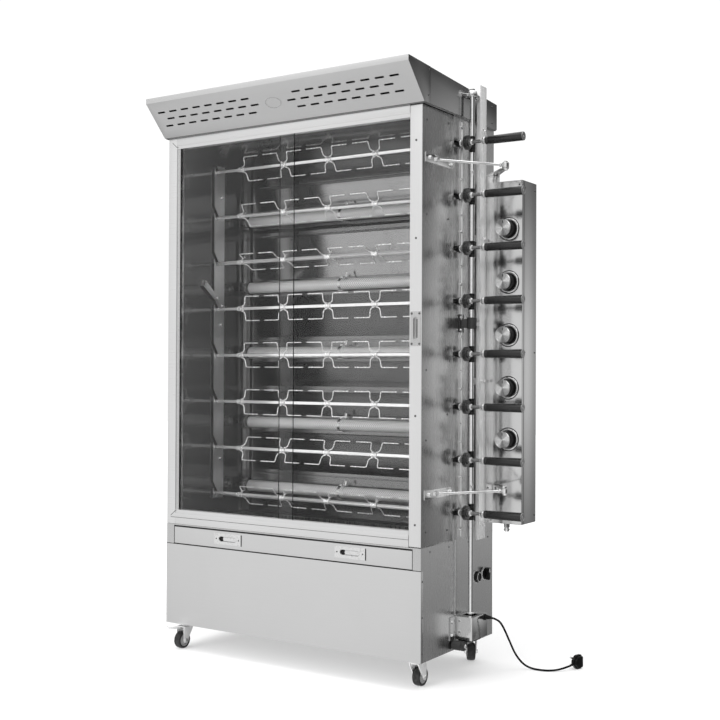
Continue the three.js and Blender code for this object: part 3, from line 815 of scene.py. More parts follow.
def make_plug():
    plug = Piece("mains_plug")
    outline = [(2, -9), (0, -4), (0, 4), (2, 9), (9, 14), (13, 21), (18, 23.5), (40, 23.5), (44, 19)]
    outline += [(44, -19), (40, -23.5), (18, -23.5), (13, -21), (9, -14)]
    plug.prism(outline, "x", -9.5, 2, BLACK_PLASTIC, 1.6)
    lid = [(y * 0.86 + 3.5, z * 0.84) for y, z in outline]
    plug.prism(lid, "x", 1, 11, BLACK_PLASTIC, 3.0)
    plug.prism([(14, -20), (42, -20), (42, 20), (14, 20)], "x", -11, -8, BLACK_PLASTIC, 0.8)
    for grip in range(4):
        y = 17 + grip * 6
        plug.boxes(BLACK_PLASTIC, 0.5, (-7, 6, y, y + 2.4, -24.3, -22), (-7, 6, y, y + 2.4, 22, 24.3))
    plug.box(-26.5, -10, 26, 29.5, -4, 4, BRIGHT_STEEL, 0.5)
    for side in (-1, 1):
        plug.box(-17, -10, 9.8, 13.2, side * 12 - 3.2, side * 12 + 3.2, BLACK_PLASTIC, 0.3)
        plug.box(-24.5, -16, 10, 13, side * 12 - 3, side * 12 + 3, BRIGHT_STEEL, 0.5)
    entry = Vector((1398 + 1.5 * math.sin(PLUG_ANGLE), 560 + 1.5 * math.cos(PLUG_ANGLE), 24.4))
    plug.move(Matrix.Translation(entry) @ Matrix.Rotation(-PLUG_ANGLE, 4, "Z"))
    return plug.done("oven", "black_plastic", "plug")


def make_lead_and_plug():
    plug = make_plug()
    data = bpy.data.curves.new("mains_lead", "CURVE")
    data.dimensions = "3D"
    data.bevel_depth = LEAD_DIAMETER / 2
    data.bevel_resolution = 4
    data.resolution_u = 8
    data.use_fill_caps = True
    spline = data.splines.new("BEZIER")
    spline.bezier_points.add(len(LEAD_ROUTE) - 1)
    for knot, spot in zip(spline.bezier_points, LEAD_ROUTE):
        knot.co = place(spot)
        knot.handle_left_type = knot.handle_right_type = "AUTO"
    data.materials.append(LEAD_RUBBER)
    lead = put_in_scene("mains_lead", data)
    settle(lead, "oven", "rubber", "power_cord")


def make_strain_relief():
    gland = Piece("strain_relief")
    flange = [(3.8, 0), (11, 0), (11, 3), (8.6, 4), (3.8, 4)]
    gland.ring(flange, (1171.2, GLAND_Y, GLAND_Z), RIGHT, BLACK_PLASTIC)
    for rib in range(6):
        wide = 8.2 - rib * 0.55
        start = (1175 + rib * 3.4, GLAND_Y, GLAND_Z)
        outline = [(3.8, 0), (wide, 0), (wide - 0.3, 2.2), (wide - 1.2, 2.4), (wide - 1.3, 3.5), (3.8, 3.5)]
        gland.ring(outline, start, RIGHT, BLACK_PLASTIC)
    gland.done("oven", "black_plastic", "cord_gland")


make_lead_and_plug()
make_strain_relief()


# ------------------------------------------------------------------ base and drawer
def make_base_panel():
    panel = Piece("base_panel")
    panel.box(0, CABINET_WIDTH, 0, 2, BASE_BOTTOM, BASE_PANEL_TOP, FRONT_STEEL, 0.7)
    for outer, inner in ((CABINET_WIDTH - 0.4, CABINET_WIDTH + 1.2), (-1.2, 0.4)):
        panel.box(outer, inner, 0, 14, BASE_BOTTOM, BASE_PANEL_TOP, SIDE_STEEL, 0.4)
    panel.done("oven", "brushed_steel", "base_front_panel")

    seams = Piece("base_seams")
    seams.box(CABINET_WIDTH, CABINET_WIDTH + 1.4, 233, 238, 215, BASE_TOP, FRAME_STEEL, 0.4)
    # Black strips in the gaps round the drawer: dark joints below it and at its sides, and along its top a
    # wider painted shadow.
    seams.boxes(
        SLOT_SHADOW, 0,
        (0, CABINET_WIDTH, -0.4, 0.5, 395.1, 397.2),
        (36, 1073, -0.6, 0.8, 461.2, 465.6),
        (35.8, 37.8, -0.4, 0.8, 399, 462),
        (1071.3, 1073.2, -0.4, 0.8, 399, 462),
    )
    seams.done("oven", "side_steel")
    spots = [(CABINET_WIDTH + 1.2, 8, z, RIGHT) for z in (128, 245, 362)]
    spots += [(CABINET_WIDTH, y, 452, RIGHT) for y in (60, 190, 330, 480)]
    fasten("base_screws", SCREW, "oven", "brushed_steel", spots, 0.8)


def slot_outline(x, z, length, height, steps=6):
    """A slot with round ends, as (x, z) points round its centre."""
    reach, radius = (length - height) / 2, height / 2
    points = []
    for end, first in ((1, -90), (-1, 90)):
        for step in range(steps + 1):
            angle = math.radians(first + 180 * step / steps)
            points.append((x + end * reach + radius * math.cos(angle), z + radius * math.sin(angle)))
    return points


def make_drawer():
    centres, level = (295, 828), 432  # the two slot pulls
    front = Piece("drawer_front")
    front.box(38, 1071, 0, 2.5, 399, 460, FRONT_STEEL, 0.8)
    for x in centres:
        front.carve(Piece("slot").prism(slot_outline(x, level, 82, 20), "y", -5, 8, FRONT_STEEL, 0))
    for x in centres:
        plate = Piece("plate").box(x - 62, x + 62, -1.6, 0.1, 412, 452, BRIGHT_STEEL, 0.6)
        plate.carve(Piece("slot").prism(slot_outline(x, level, 80, 18), "y", -5, 8, BRIGHT_STEEL, 0))
        front.join(plate)
        scoop = [(2, 422.5), (2, 441.5), (9, 441.5), (13, 436), (13, 428), (9, 422.5)]
        front.prism(scoop, "x", x - 40, x + 40, SIDE_STEEL, 0.8)
        # In each slot a black patch at the left end is painted shade, beside a brighter steel scoop on the
        # right; the black bar along the plate's right edge is a painted shadow.
        front.prism(slot_outline(x + 8, level, 60, 13), "y", 0.4, 2.2, BRIGHT_STEEL, 0.8)
        front.prism(slot_outline(x - 29, level, 20, 18), "y", 1.6, 2.3, SLOT_SHADOW, 0)
        front.box(x + 62, x + 64.6, -1.4, 0.1, 412, 452, SLOT_SHADOW, 0)
    front.boxes(  # the tray's walls and floor, and the two lugs that hold it to the front
        SIDE_STEEL, 0.3,
        (52, 1058, 14, 16, 403, 447),
        (52, 1058, 478, 480, 403, 447),
        (52, 54, 14, 480, 403, 447),
        (1056, 1058, 14, 480, 403, 447),
        (52, 1058, 14, 480, 403, 405),
        (52, 92, 1, 15, 405, 440),
        (1018, 1058, 1, 15, 405, 440),
    )
    front.done("drip_drawer", "brushed_steel", "drip_drawer")
    spots = [(x + side * 52, -1.6, level, AHEAD) for x in centres for side in (-1, 1)]
    fasten("drawer_rivets", SCREW, "drip_drawer", "brushed_steel", spots, 0.7)


# ------------------------------------------------------------------ front frame and glass
def make_front_frame():
    right, head, sill = 1057, 1890, 511
    rim = Piece("front_frame_rim")
    rim.box(0, 40, 0, FRAME_DEPTH, 470.5, CHAMBER_TOP, FRAME_STEEL, 1.2)
    rim.box(40, 55, 3, FRAME_DEPTH, 516, 1886, SIDE_STEEL, 0.8)
    rim.box(40, right, 0, FRAME_DEPTH, head, CHAMBER_TOP, FRAME_STEEL, 1.2)
    rim.box(40, right, 0, FRAME_DEPTH, 470.5, sill, FRAME_STEEL, 1.2)
    for front, back in ((1.5, 5), (11, 13.5), (20.5, FRAME_DEPTH)):
        rim.box(40, right, front, back, GLASS_TOP, head + 1, FRAME_STEEL, 0.5)
        rim.box(40, right, front, back, sill - 1, GLASS_BOTTOM, FRAME_STEEL, 0.5)
    rim.box(40, right, 4, FRAME_DEPTH - 1, head - 1.5, head + 0.5, SLOT_SHADOW, 0)
    rim.box(46, 48, 2.2, 4, GLASS_BOTTOM, GLASS_TOP, BRIGHT_STEEL, 0.3)
    rim.box(18, right, -0.7, 1, 496, 508.5, FRAME_STEEL, 0.9)
    rim.box(18, right, -0.75, -0.1, 494.4, 495.6, SLOT_SHADOW, 0)
    for z in (500, 1902):
        mitre = Piece("mitre").box(0, 31, -0.9, -0.1, -0.7, 0.7, SLOT_SHADOW, 0)
        turn = Matrix.Rotation(math.radians(-40 if z < 1000 else 40), 4, "Y")
        mitre.move(Matrix.Translation((18, 0, z)) @ turn)
        rim.join(mitre)
    rim.done("oven", "frame_metal", "front_frame")


def make_pane(side, x0, x1, y0):
    bottom, top, thick = 515.5, 1884.5, 5
    pane = Piece(f"pane_{side}")
    pane.box(x0 + 0.6, x1 - 0.6, y0, y0 + thick, bottom, top, PANE, 0)
    for edge in (x0 - 0.1, x1 - 0.6):
        pane.box(edge, edge + 0.7, y0 + 0.2, y0 + thick - 0.2, bottom, top, PANE_EDGE, 0)
    pane.done(f"glass_{side}", "clear_glass", f"glass_{side}")


# ------------------------------------------------------------------ hood
HOOD_LEFT = -12.0
HOOD_RIGHT = 1116.0
FASCIA_FOOT = (-10.0, 1921.0)
FASCIA_TOP = (-112.0, 2031.0)


def on_fascia(x, along, out=0.0):
    """A point on the sloped fascia: along is the way up it from its foot."""
    foot, top = Vector(FASCIA_FOOT), Vector(FASCIA_TOP)
    up = (top - foot).normalized()
    spot = foot + up * along + Vector((-up.y, up.x)) * out
    return Vector((x, spot.x, spot.y))


def make_hood():
    foot, top = FASCIA_FOOT, FASCIA_TOP
    outer = [foot, top, (top[0], 2050), (CABINET_DEPTH, 2013), (CABINET_DEPTH, 1921)]
    inner = [(-3, 1916.4), (-110, 2032), (-110, 2048), (516, 2011), (516, 1915)]
    hood = Piece("hood_shell").prism(outer, "x", HOOD_LEFT, HOOD_RIGHT, FRONT_STEEL, 0.9)
    inside = Piece("inside").prism(inner, "x", HOOD_LEFT + 2, HOOD_RIGHT - 2, SIDE_STEEL, 0)
    up = (Vector(top) - Vector(foot)).normalized()
    slant = math.atan2(up.y, up.x)
    stamp = Piece("stamp_slot").prism(slot_outline(0, 0, 36, 7), "y", -9, 9, SLOT_SHADOW, 0)
    stamp.move(Matrix.Rotation(slant - math.pi / 2, 4, "X"))
    stamp = stamp.stamp()
    # Each row's first slot: its left end, and how far up the fascia it is.
    rows = ((19, 107), (49, 79), (25, 50), (634, 106), (602, 77), (631, 48))
    slots = Piece("slots")
    for start, along in rows:
        first = on_fascia(start + 18, along)
        row = grow(
            ROW_OF_STAMPS, "slot_row", [(0, 0, 0)], Stamp=stamp, Count=8,
            Start=tuple(first), Step=(56.2, 0.0, 0.0), Finish=SLOT_SHADOW,
        )
        slots.add_mesh(row, SLOT_SHADOW)
    hood.carve(inside, slots)
    bpy.data.objects.remove(stamp)
    for x0, x1 in ((HOOD_LEFT - 1.0, HOOD_LEFT + 0.2), (HOOD_RIGHT - 0.2, HOOD_RIGHT + 1.0)):
        cheek = [foot, top, (top[0], 2049.6), (30, 2041.4), (30, 1921)]
        hood.prism(cheek, "x", x0, x1, SIDE_STEEL, 0.3)
    # Painted shadow: a black band along the fascia's foot, above the gap down to the frame.
    foot_gap_shadow = [(-8, 1921), (-8, 1926), (4, 1926), (4, 1921)]
    hood.prism(foot_gap_shadow, "x", HOOD_LEFT + 3, HOOD_RIGHT - 3, SLOT_SHADOW, 0)
    # Painted shade: every hood face that looks left or right, the cheeks' too, takes the much darker
    # hood-side copy of the steel.
    hood.mesh.normal_update()
    for face in hood.mesh.faces:
        if abs(face.normal.x) > 0.9:
            face.material_index = hood._index(HOOD_SIDE_PAINTED_SHADE_STEEL)
    make_badge(hood)
    hood.done("oven", "brushed_steel", "hood")
    spots = [(HOOD_RIGHT + 1, y, z, RIGHT) for y, z in ((22, 2030), (16, 1946))]
    spots += [(HOOD_RIGHT, 480, z, RIGHT) for z in (1940, 1998)]
    fasten("hood_screws", SCREW, "oven", "brushed_steel", spots, 0.8)


def make_badge(hood):
    """A plain oval, a shallow raised rim round the bare fascia, with nothing drawn on it."""
    centre = on_fascia(541, 77)
    up = (Vector(FASCIA_TOP) - Vector(FASCIA_FOOT)).normalized()
    out = Vector((0, -up.y, up.x))
    profile = [(1.0, 0.2), (1.0, 0.9), (0.94, 1.2), (0.9, 0.7), (0.9, 0.2)]
    points, sides = [], 40
    along = Vector((0, up.x, up.y))
    for side in range(sides):
        angle = 2 * math.pi * side / sides
        for reach, height in profile:
            flat = Vector((34 * math.cos(angle), 0, 0)) + along * 21 * math.sin(angle)
            points.append(centre + flat * reach + out * height)
    hood.shell(points, lofted(sides, len(profile), joined=True), SIDE_STEEL)


# ------------------------------------------------------------------ burners and rack
def make_burner(number, z):
    burner = Piece(f"burner_tube_{number}")
    burner.rod((48, BURNER_Y, z), (1062, BURNER_Y, z), BURNER_RADIUS - 0.7, SIDE_STEEL, 28)
    burner.ring(
        [(BURNER_RADIUS - 0.6, 0), (BURNER_RADIUS, 0), (BURNER_RADIUS, 960), (BURNER_RADIUS - 0.6, 960)],
        (62, BURNER_Y, z), RIGHT, BURNER_MESH, 48,
    )
    band = [(BURNER_RADIUS, 0), (BURNER_RADIUS + 1.3, 0), (BURNER_RADIUS + 1.3, 12), (BURNER_RADIUS, 12)]
    for x in (58, 505, 1010):
        burner.ring(band, (x, BURNER_Y, z), RIGHT, BRIGHT_STEEL, 32)
    burner.box(500, 528, BURNER_Y - 2, 439.8, z + 20, z + 24, SIDE_STEEL, 0.5)
    burner.box(500, 528, 396, 439.8, z - 26, z - 23, SIDE_STEEL, 0.5)
    burner.nut((514, BURNER_Y - 4, z + 23.5), UP, 9, 6, BRIGHT_STEEL)
    plate = [(388, z - 30), (388, z + 16), (400, z + 30), (440, z + 30), (440, z - 30)]
    burner.prism(plate, "x", 44, 46, REFLECTOR_STEEL, 0.4)
    burner.box(20.3, 48, BURNER_Y - 8, BURNER_Y + 8, z - 8, z + 8, DARK_STEEL, 0.6)
    igniter = [(536, 404, z + 48), (534, 399, z + 34), (533, 396, z + 20), (534, 391, z + 6)]
    burner.wire(igniter, 1.1, WIRE_STEEL, 6)
    burner.rod((538, 410, z + 44), (537, 405, z + 27), 3.2, WHITE_PRINT, 10)
    made = burner.done("oven", "mesh_steel", f"burner_{number}")
    lengths = made.data.attributes.new("round_length", "FLOAT", "POINT")
    middle = place((0, BURNER_Y, z))
    for i, vertex in enumerate(made.data.vertices):
        angle = math.atan2(vertex.co.z - middle.z, vertex.co.y - middle.y)
        lengths.data[i].value = abs(angle) * BURNER_RADIUS * MM


def make_spit_rack():
    rack = Piece("rack_plate").box(27, 30, 231, 290, 545, 1852, RACK_STEEL, 0)
    for number in range(1, SPIT_COUNT + 1):
        z = spit_level(number)
        notch = [(229, 50), (229, 24), (238, 0), (242, -6.5), (247, -9), (252, -6.5), (256, 0), (256, 8)]
        notch = [(y, z + up) for y, up in notch]
        rack.carve(Piece("notch").prism(notch, "x", 20, 40, RACK_STEEL, 0))
    rack.box(21, 29, 286, 290, 545, 1852, RACK_STEEL, 0.4)
    strap = [(160, 1377), (166, 1395), (178, 1396), (296, 1297), (292, 1280)]
    rack.prism(strap, "x", 30, 33, RACK_STEEL, 0.6)
    rack.box(21, 33, 156, 172, 1374, 1396, SIDE_STEEL, 0.8)
    posts = (700, 1226, 1730)
    for z in posts:
        rack.rod((20.3, 270, z), (30, 270, z), 7, SIDE_STEEL, 12)
    rack.done("oven", "inner_steel", "spit_rack")
    spots = [(30, 270, z, RIGHT) for z in posts]
    spots += [(33, y, z, RIGHT) for y, z in ((277, 1302), (244, 1330), (176, 1386))]
    fasten("rack_bolts", BOLT, "oven", "inner_steel", spots, 0.7)


def make_chamber_details():
    """Bolts, seams and the folded panels that stand in front of the rear reflector."""
    spots = [(x, 440, z, AHEAD) for z in (1310, 1246, 1040, 735, 1490) for x in (240, 420, 690, 905)]
    fasten("reflector_bolts", SCREW, "oven", "inner_steel", spots, 1.1)
    panels = Piece("reflector_panels")
    # The panels low down take a darker copy of the steel, those higher up the plain reflector steel.
    lower_levels = ((482, 545), (650, 800), (870, 960), (985, 1080), (1180, 1340))
    upper_levels = ((1410, 1575), (1600, 1612), (1690, 1772))
    for levels, finish in ((lower_levels, LOWER_PANEL_STEEL), (upper_levels, REFLECTOR_STEEL)):
        for low, high in levels:
            outline = [(436, low), (439.7, low), (439.7, high), (428, high + 2), (426, high)]
            panels.prism(outline, "x", 66, 1040, finish, 0.6)
    for x in (318, 352):
        panels.turned([(6.5, 0), (6.5, 1), (5, 1.6)], (x, 426, 1328), AHEAD, SLOT_SHADOW, 20)
    panels.done("oven", "inner_steel")
    sides = Piece("chamber_side_folds")
    sides.box(20.1, 20.7, 25, 439, 472, 1916, WALL_STEEL, 0)
    sides.box(20.7, 24, 395, 440, 480, 1900, REFLECTOR_STEEL, 0.5)
    sides.box(44, 52, 436, 440, 480, 1900, SLOT_SHADOW, 0.2)
    sides.prism([(30, 1896), (30, 1912), (438, 1912), (438, 1860)], "x", 24, 1080, CHAMBER_STEEL, 0.5)
    sides.done("oven", "inner_steel")


def make_back():
    """Seams and rows of screws down the plain sheets behind and on the left."""
    columns, levels = (14, 552, 1090), range(520, 1900, 170)
    spots = [(x, CABINET_DEPTH, z, BACK) for x in columns for z in levels]
    spots += [(x, CABINET_DEPTH, z, BACK) for x in columns for z in (120, 290, 450)]
    spots += [(0, y, z, LEFT) for y in (44, 500) for z in levels]
    fasten("back_screws", SCREW, "oven", "side_steel", spots, 1.0)
    seams = Piece("back_seams")
    near, far = CABINET_DEPTH - 0.4, CABINET_DEPTH + 0.4
    seams.box(0, CABINET_WIDTH, near, far, BASE_TOP - 1, BASE_TOP + 1, SLOT_SHADOW, 0)
    for edge in (4, 1096):
        seams.box(edge, edge + 4, near, CABINET_DEPTH + 1, 480, 1908, SIDE_STEEL, 0.4)
    # Two blocks of vent slots drawn as black slot shapes on the sheet: painted shade where the openings
    # are.
    for row in range(7):
        for x in (400, 660):
            vent = slot_outline(x, 1690 + row * 22, 90, 7)
            seams.prism(vent, "y", near, CABINET_DEPTH + 0.5, SLOT_SHADOW, 0)
    seams.done("oven", "side_steel")


make_base_panel()
make_back()
make_drawer()
make_front_frame()
make_pane("left", 57, 582, 5.5)
make_pane("right", 513, 1055, 14)
make_hood()
for place_number, level in enumerate(BURNER_LEVELS, 1):
    make_burner(place_number, level)
make_spit_rack()
make_chamber_details()


# ------------------------------------------------------------------ spits
def bend(points, radius, steps=3):
    """Rounds the corners of a path of straight runs, as a bent wire has them."""
    path = [Vector(p) for p in points]
    eased = [path[0]]
    for before, corner, after in zip(path, path[1:], path[2:]):
        back = (before - corner).normalized() * radius
        on = (after - corner).normalized() * radius
        for step in range(steps + 1):
            t = step / steps
            eased.append(corner + back * (1 - t) ** 2 + on * t ** 2)
    eased.append(path[-1])
    return eased


def fork_stamp():
    """The prongs on one side of a hub, pointing along +z from a hub at the middle of its axes."""
    reach, root, splay = 90, 21, 2.5
    fork = Piece("stamp_fork")
    for side in (-1, 1):
        path = [
            (0, side * 9.5, 3), (0, side * 13, root - 5), (0, side * 21, root),
            (0, side * PRONG_RADIUS, root + splay), (0, side * PRONG_RADIUS, reach),
        ]
        fork.wire(bend(path, 5), 2.1, WIRE_STEEL, 7)
    return fork.stamp()


def make_spit(number, fork):
    z = spit_level(number)
    turn = math.radians(SPIT_TURNS[SPIT_COUNT - number])
    home = Matrix.Translation((0, SPIT_Y, z)) @ Matrix.Rotation(turn, 4, "X")
    name = f"spit_{number}"
    spit = Piece(f"spit_rod_{number}")
    half = 5.4  # half the square rod's width
    spit.box(22, 1088, -half, half, -half, half, ROD_STEEL, 1.2)
    spit.turned([(1.5, 0), (half, 7), (half, 9)], (14.5, 0, 0), RIGHT, ROD_STEEL, 12)
    spit.rod((1086, 0, 0), (1195, 0, 0), 6, SLEEVE_STEEL, 20)
    for hub in range(FORK_COUNT):
        x = FORK_FIRST + hub * FORK_PITCH
        spit.turned([(8, 0), (9.5, 1.2), (9.5, 24.8), (8, 26)], (x - 13, 0, 0), RIGHT, WIRE_STEEL, 16)
        spit.rod((x, 6, 0), (x, 19, 0), 3, ZINC, 10)
        wing = [(x - 2, 16), (x - 9, 25), (x - 6, 29), (x, 22), (x + 6, 29), (x + 9, 25), (x + 2, 16)]
        spit.prism(wing, "z", -1.2, 1.2, ZINC, 0.5)
    spit.turned([(9, 0), (11, 1), (11, 22), (9, 23)], (1090, 0, 0), RIGHT, DARK_STEEL, 20)
    spit.nut((1113, 0, 0), RIGHT, 20, 5, ZINC)
    spit.turned([(9, 0), (12, 1.5), (12, 5), (14, 6), (14, 12)], (1118, 0, 0), RIGHT, SLEEVE_STEEL, 20)
    spit.turned([(14, 0), (14, 4), (10, 5), (10, 9)], (1145, 0, 0), RIGHT, SLEEVE_STEEL, 20)
    spit.nut((1153, 0, 0), RIGHT, 18, 6, ZINC)
    add_gear(spit)
    spit.move(home)
    spit.done(name, "rod_steel", name)

    points, turns = [], []
    for hub in range(FORK_COUNT):
        for side in (-1, 1):
            if (hub, side) in ((0, -1), (FORK_COUNT - 1, 1)):
                continue
            points.append((FORK_FIRST + hub * FORK_PITCH, SPIT_Y, z))
            upright = Matrix(((0, 0, side), (-side, 0, 0), AHEAD))
            turns.append(tuple((Matrix.Rotation(turn, 3, "X") @ upright).to_euler()))
    given = {"Stamp": fork, "Size": 1.0, "Finish": WIRE_STEEL}
    take_home(grow(SET_ON_POINTS, f"spit_forks_{number}", points, turns, **given), name, "rod_steel")

    grip = Piece(f"spit_grip_{number}")
    grip.turned(
        [(6.6, 0), (9, 0.6), (10, 3), (12.8, 7), (13, 11), (11.4, 13), (11.4, 16)],
        (HANDLE_START, 0, 0), RIGHT, BRIGHT_STEEL, 28,
    )
    grip.nut((HANDLE_START + 1, 0, 0), RIGHT, 19, 4, ZINC)
    length = HANDLE_END - HANDLE_START - 16
    profile = [(12.2, 0), (13.5, 1.2), (13.7, 8), (13.2, 10), (13.2, 11), (13.9, 13)]
    profile += [(14.9, length - 5), (14.8, length - 2.6)]
    grip.turned(profile, (HANDLE_START + 16, 0, 0), RIGHT, BLACK_GRIP, 36)
    cap = [(14.7, 0), (14.6, 1.2), (13.6, 2.4), (12.2, 2.4), (11.8, 1.6), (4.4, 1.6), (4.0, 0.4), (1, 0.4)]
    grip.turned(cap, (HANDLE_END - 2.6, 0, 0), RIGHT, GRIP_END, 36)
    grip.dome((HANDLE_END - 2.3, 0, 0), RIGHT, 3.4, 1.8, BRIGHT_STEEL, 14)
    grip.move(home)
    grip.done(name, "black_plastic", f"spit_handle_{number}")


def add_gear(spit):
    """The worm wheel, with its teeth cut round the rim."""
    outer, root, x0, x1 = 24.4, 21.6, 1131.5, 1144.5
    points, count = [], GEAR_TEETH * 4
    for x in (x0, x1):
        for i in range(count):
            radius = outer if i % 4 in (1, 2) else root
            angle = 2 * math.pi * (i + (0.15 if i % 4 == 1 else -0.15 if i % 4 == 2 else 0)) / count
            points.append((x, radius * math.cos(angle), radius * math.sin(angle)))
    spit.shell(points, lofted(2, count), WORN_GEAR)


# ------------------------------------------------------------------ drive
def on_shaft(z):
    """A point on the drive shaft's axis."""
    return SHAFT_X, SHAFT_Y, z


def make_drive_shaft():
    shaft = Piece("drive_shaft_bar")
    shaft.rod(on_shaft(150), on_shaft(2010), 8.6, SHAFT_STEEL, 28, 1.5)
    shaft.turned([(12, 0), (13, 1), (13, 5), (11, 6)], on_shaft(214.5), UP, ZINC, 24)
    shaft.nut(on_shaft(2014.3), UP, 17, 4.5, BRIGHT_STEEL)
    for number in range(1, SPIT_COUNT + 1):
        z = spit_level(number)
        profile = [(9, 0), (10.2, 1), (10.2, 5), (9.6, 6), (9.6, 50), (10.2, 51), (10.2, 55), (9, 56)]
        shaft.turned(profile, on_shaft(z - 28), UP, DARK_STEEL, 24)
        sizes = {"Radius": 9.9, "Length": 44.0, "Turns": 8.0, "Crest": 1.7}
        thread = grow(WORM_THREAD, "thread", [(0, 0, 0)], Finish=DARK_STEEL, **sizes)
        thread.data.transform(Matrix.Translation(on_shaft(z - 22)))
        shaft.add_mesh(thread, DARK_STEEL)
    shaft.done("drive_shaft", "rod_steel", "drive_shaft")


def make_drive_column():
    column = Piece("drive_column_bar")
    channel = [(1120, 352), (1134, 352), (1134, 400), (1120, 400)]
    channel += [(1120, 397), (1131, 397), (1131, 355), (1120, 355)]
    column.prism(channel, "z", 459, 2048, COLUMN_STEEL, 0.8)
    for z in (500, 1000, 1500, 1880):
        column.box(1104.3, 1121, 360, 392, z, z + 24, SIDE_STEEL, 0.8)
    casting = [(1105, 262), (1105, 276), (1112, 291), (1123, 294), (1128, 270), (1113, 262)]
    column.prism(casting, "z", 1196, 1226, CAST_IRON, 1.5)
    middle_bearing = [(9.5, 0), (16, 0), (17, 2), (17, 37), (16, 39), (9.5, 39)]
    column.ring(middle_bearing, on_shaft(1192), UP, CAST_IRON, 28)
    column.box(1104.4, 1108, 254, 284, 1180, 1242, CAST_IRON, 1.0)
    top = [(1104.4, 244), (1108, 244), (1126, 268), (1150, 268), (1150, 300), (1126, 300), (1104.4, 272)]
    column.prism(top, "z", 1993, 2002, BRIGHT_STEEL, 1.0)
    upper_bearing = [(9.5, 0), (15, 0), (16.5, 2), (16.5, 16), (13, 22), (9.5, 22)]
    column.ring(upper_bearing, on_shaft(1990), UP, BRIGHT_STEEL, 28)
    column.box(1104.4, 1107.4, 236, 276, 1972, 2016, BRIGHT_STEEL, 0.8)
    for z in (1204, 1994):
        column.box(1124, 1133, 296, 356, z, z + 14, SIDE_STEEL, 0.6)
    column.done("oven", "side_steel", "drive_column")
    spots = [(1134, y, z, RIGHT) for z in (512, 1012, 1512, 1892) for y in (366, 386)]
    spots += [(1107.4, 246, z, RIGHT) for z in (1982, 2006)] + [(1108, 260, z, RIGHT) for z in (1188, 1234)]
    fasten("column_bolts", BOLT, "oven", "side_steel", spots, 0.75)

    guide = Piece("spit_guide_strip")
    for right, front, back in ((1106.6, 257, 270), (1109.5, 268, 271)):
        guide.box(1104.1, right, front, back, 478, 1906, FRAME_STEEL, 0.5)
    for number in range(1, SPIT_COUNT + 1):
        z = spit_level(number)
        guide.box(1104.2, 1107.4, 255.5, 262, z - 14, z + 14, SLEEVE_STEEL, 0.8)
    guide.done("oven", "side_steel")
    levels = [spit_level(number) - 60 * side for number in range(1, SPIT_COUNT + 1) for side in (-1, 1)]
    spots = [(1106.6, 263, z, RIGHT) for z in levels]
    fasten("guide_bolts", BOLT, "oven", "side_steel", spots, 0.6)


def make_motor():
    cover = Piece("motor_cover_box").box(1104.3, 1171, 232, 345, 134, 212, CONTROL_STEEL, 1.2)
    cover.carve(
        Piece("inside").box(1106.3, 1169, 234, 343, 120, 210, CONTROL_STEEL, 0),
        Piece("shaft_slot").box(1118, 1158, 262, 306, 205, 216, SLOT_SHADOW, 0),
    )
    for front, back in ((194, 233), (344, 364)):
        cover.box(1104.3, 1106.8, front, back, 134, 212, SIDE_STEEL, 0.6)
    cover.done("oven", "side_steel", "motor_cover")
    spots = [(1106.8, y, z, RIGHT) for y in (206, 356) for z in (150, 196)]
    fasten("motor_screws", BOLT, "oven", "side_steel", spots, 0.7)

    motor = Piece("gear_motor_block")
    motor.box(1112.5, 1162.5, 240.5, 321.5, 127, 196, CAST_IRON, 4)
    can = [(14, 0), (16, 1), (16, 30), (15, 32), (16, 34), (16, 43), (13, 44)]
    motor.turned(can, (1108, 214, 118), RIGHT, CAST_IRON, 28)
    motor.nut((1151.5, 214, 118), RIGHT, 13, 6, BRIGHT_STEEL)
    motor.box(1114, 1148, 214, 242, 107, 129.5, CAST_IRON, 2)
    for rib in range(6):
        y = 248 + rib * 12
        motor.box(1116, 1160, y, y + 3, 124.5, 128, CAST_IRON, 0.6)
    motor.done("oven", "dark_steel", "gear_motor")


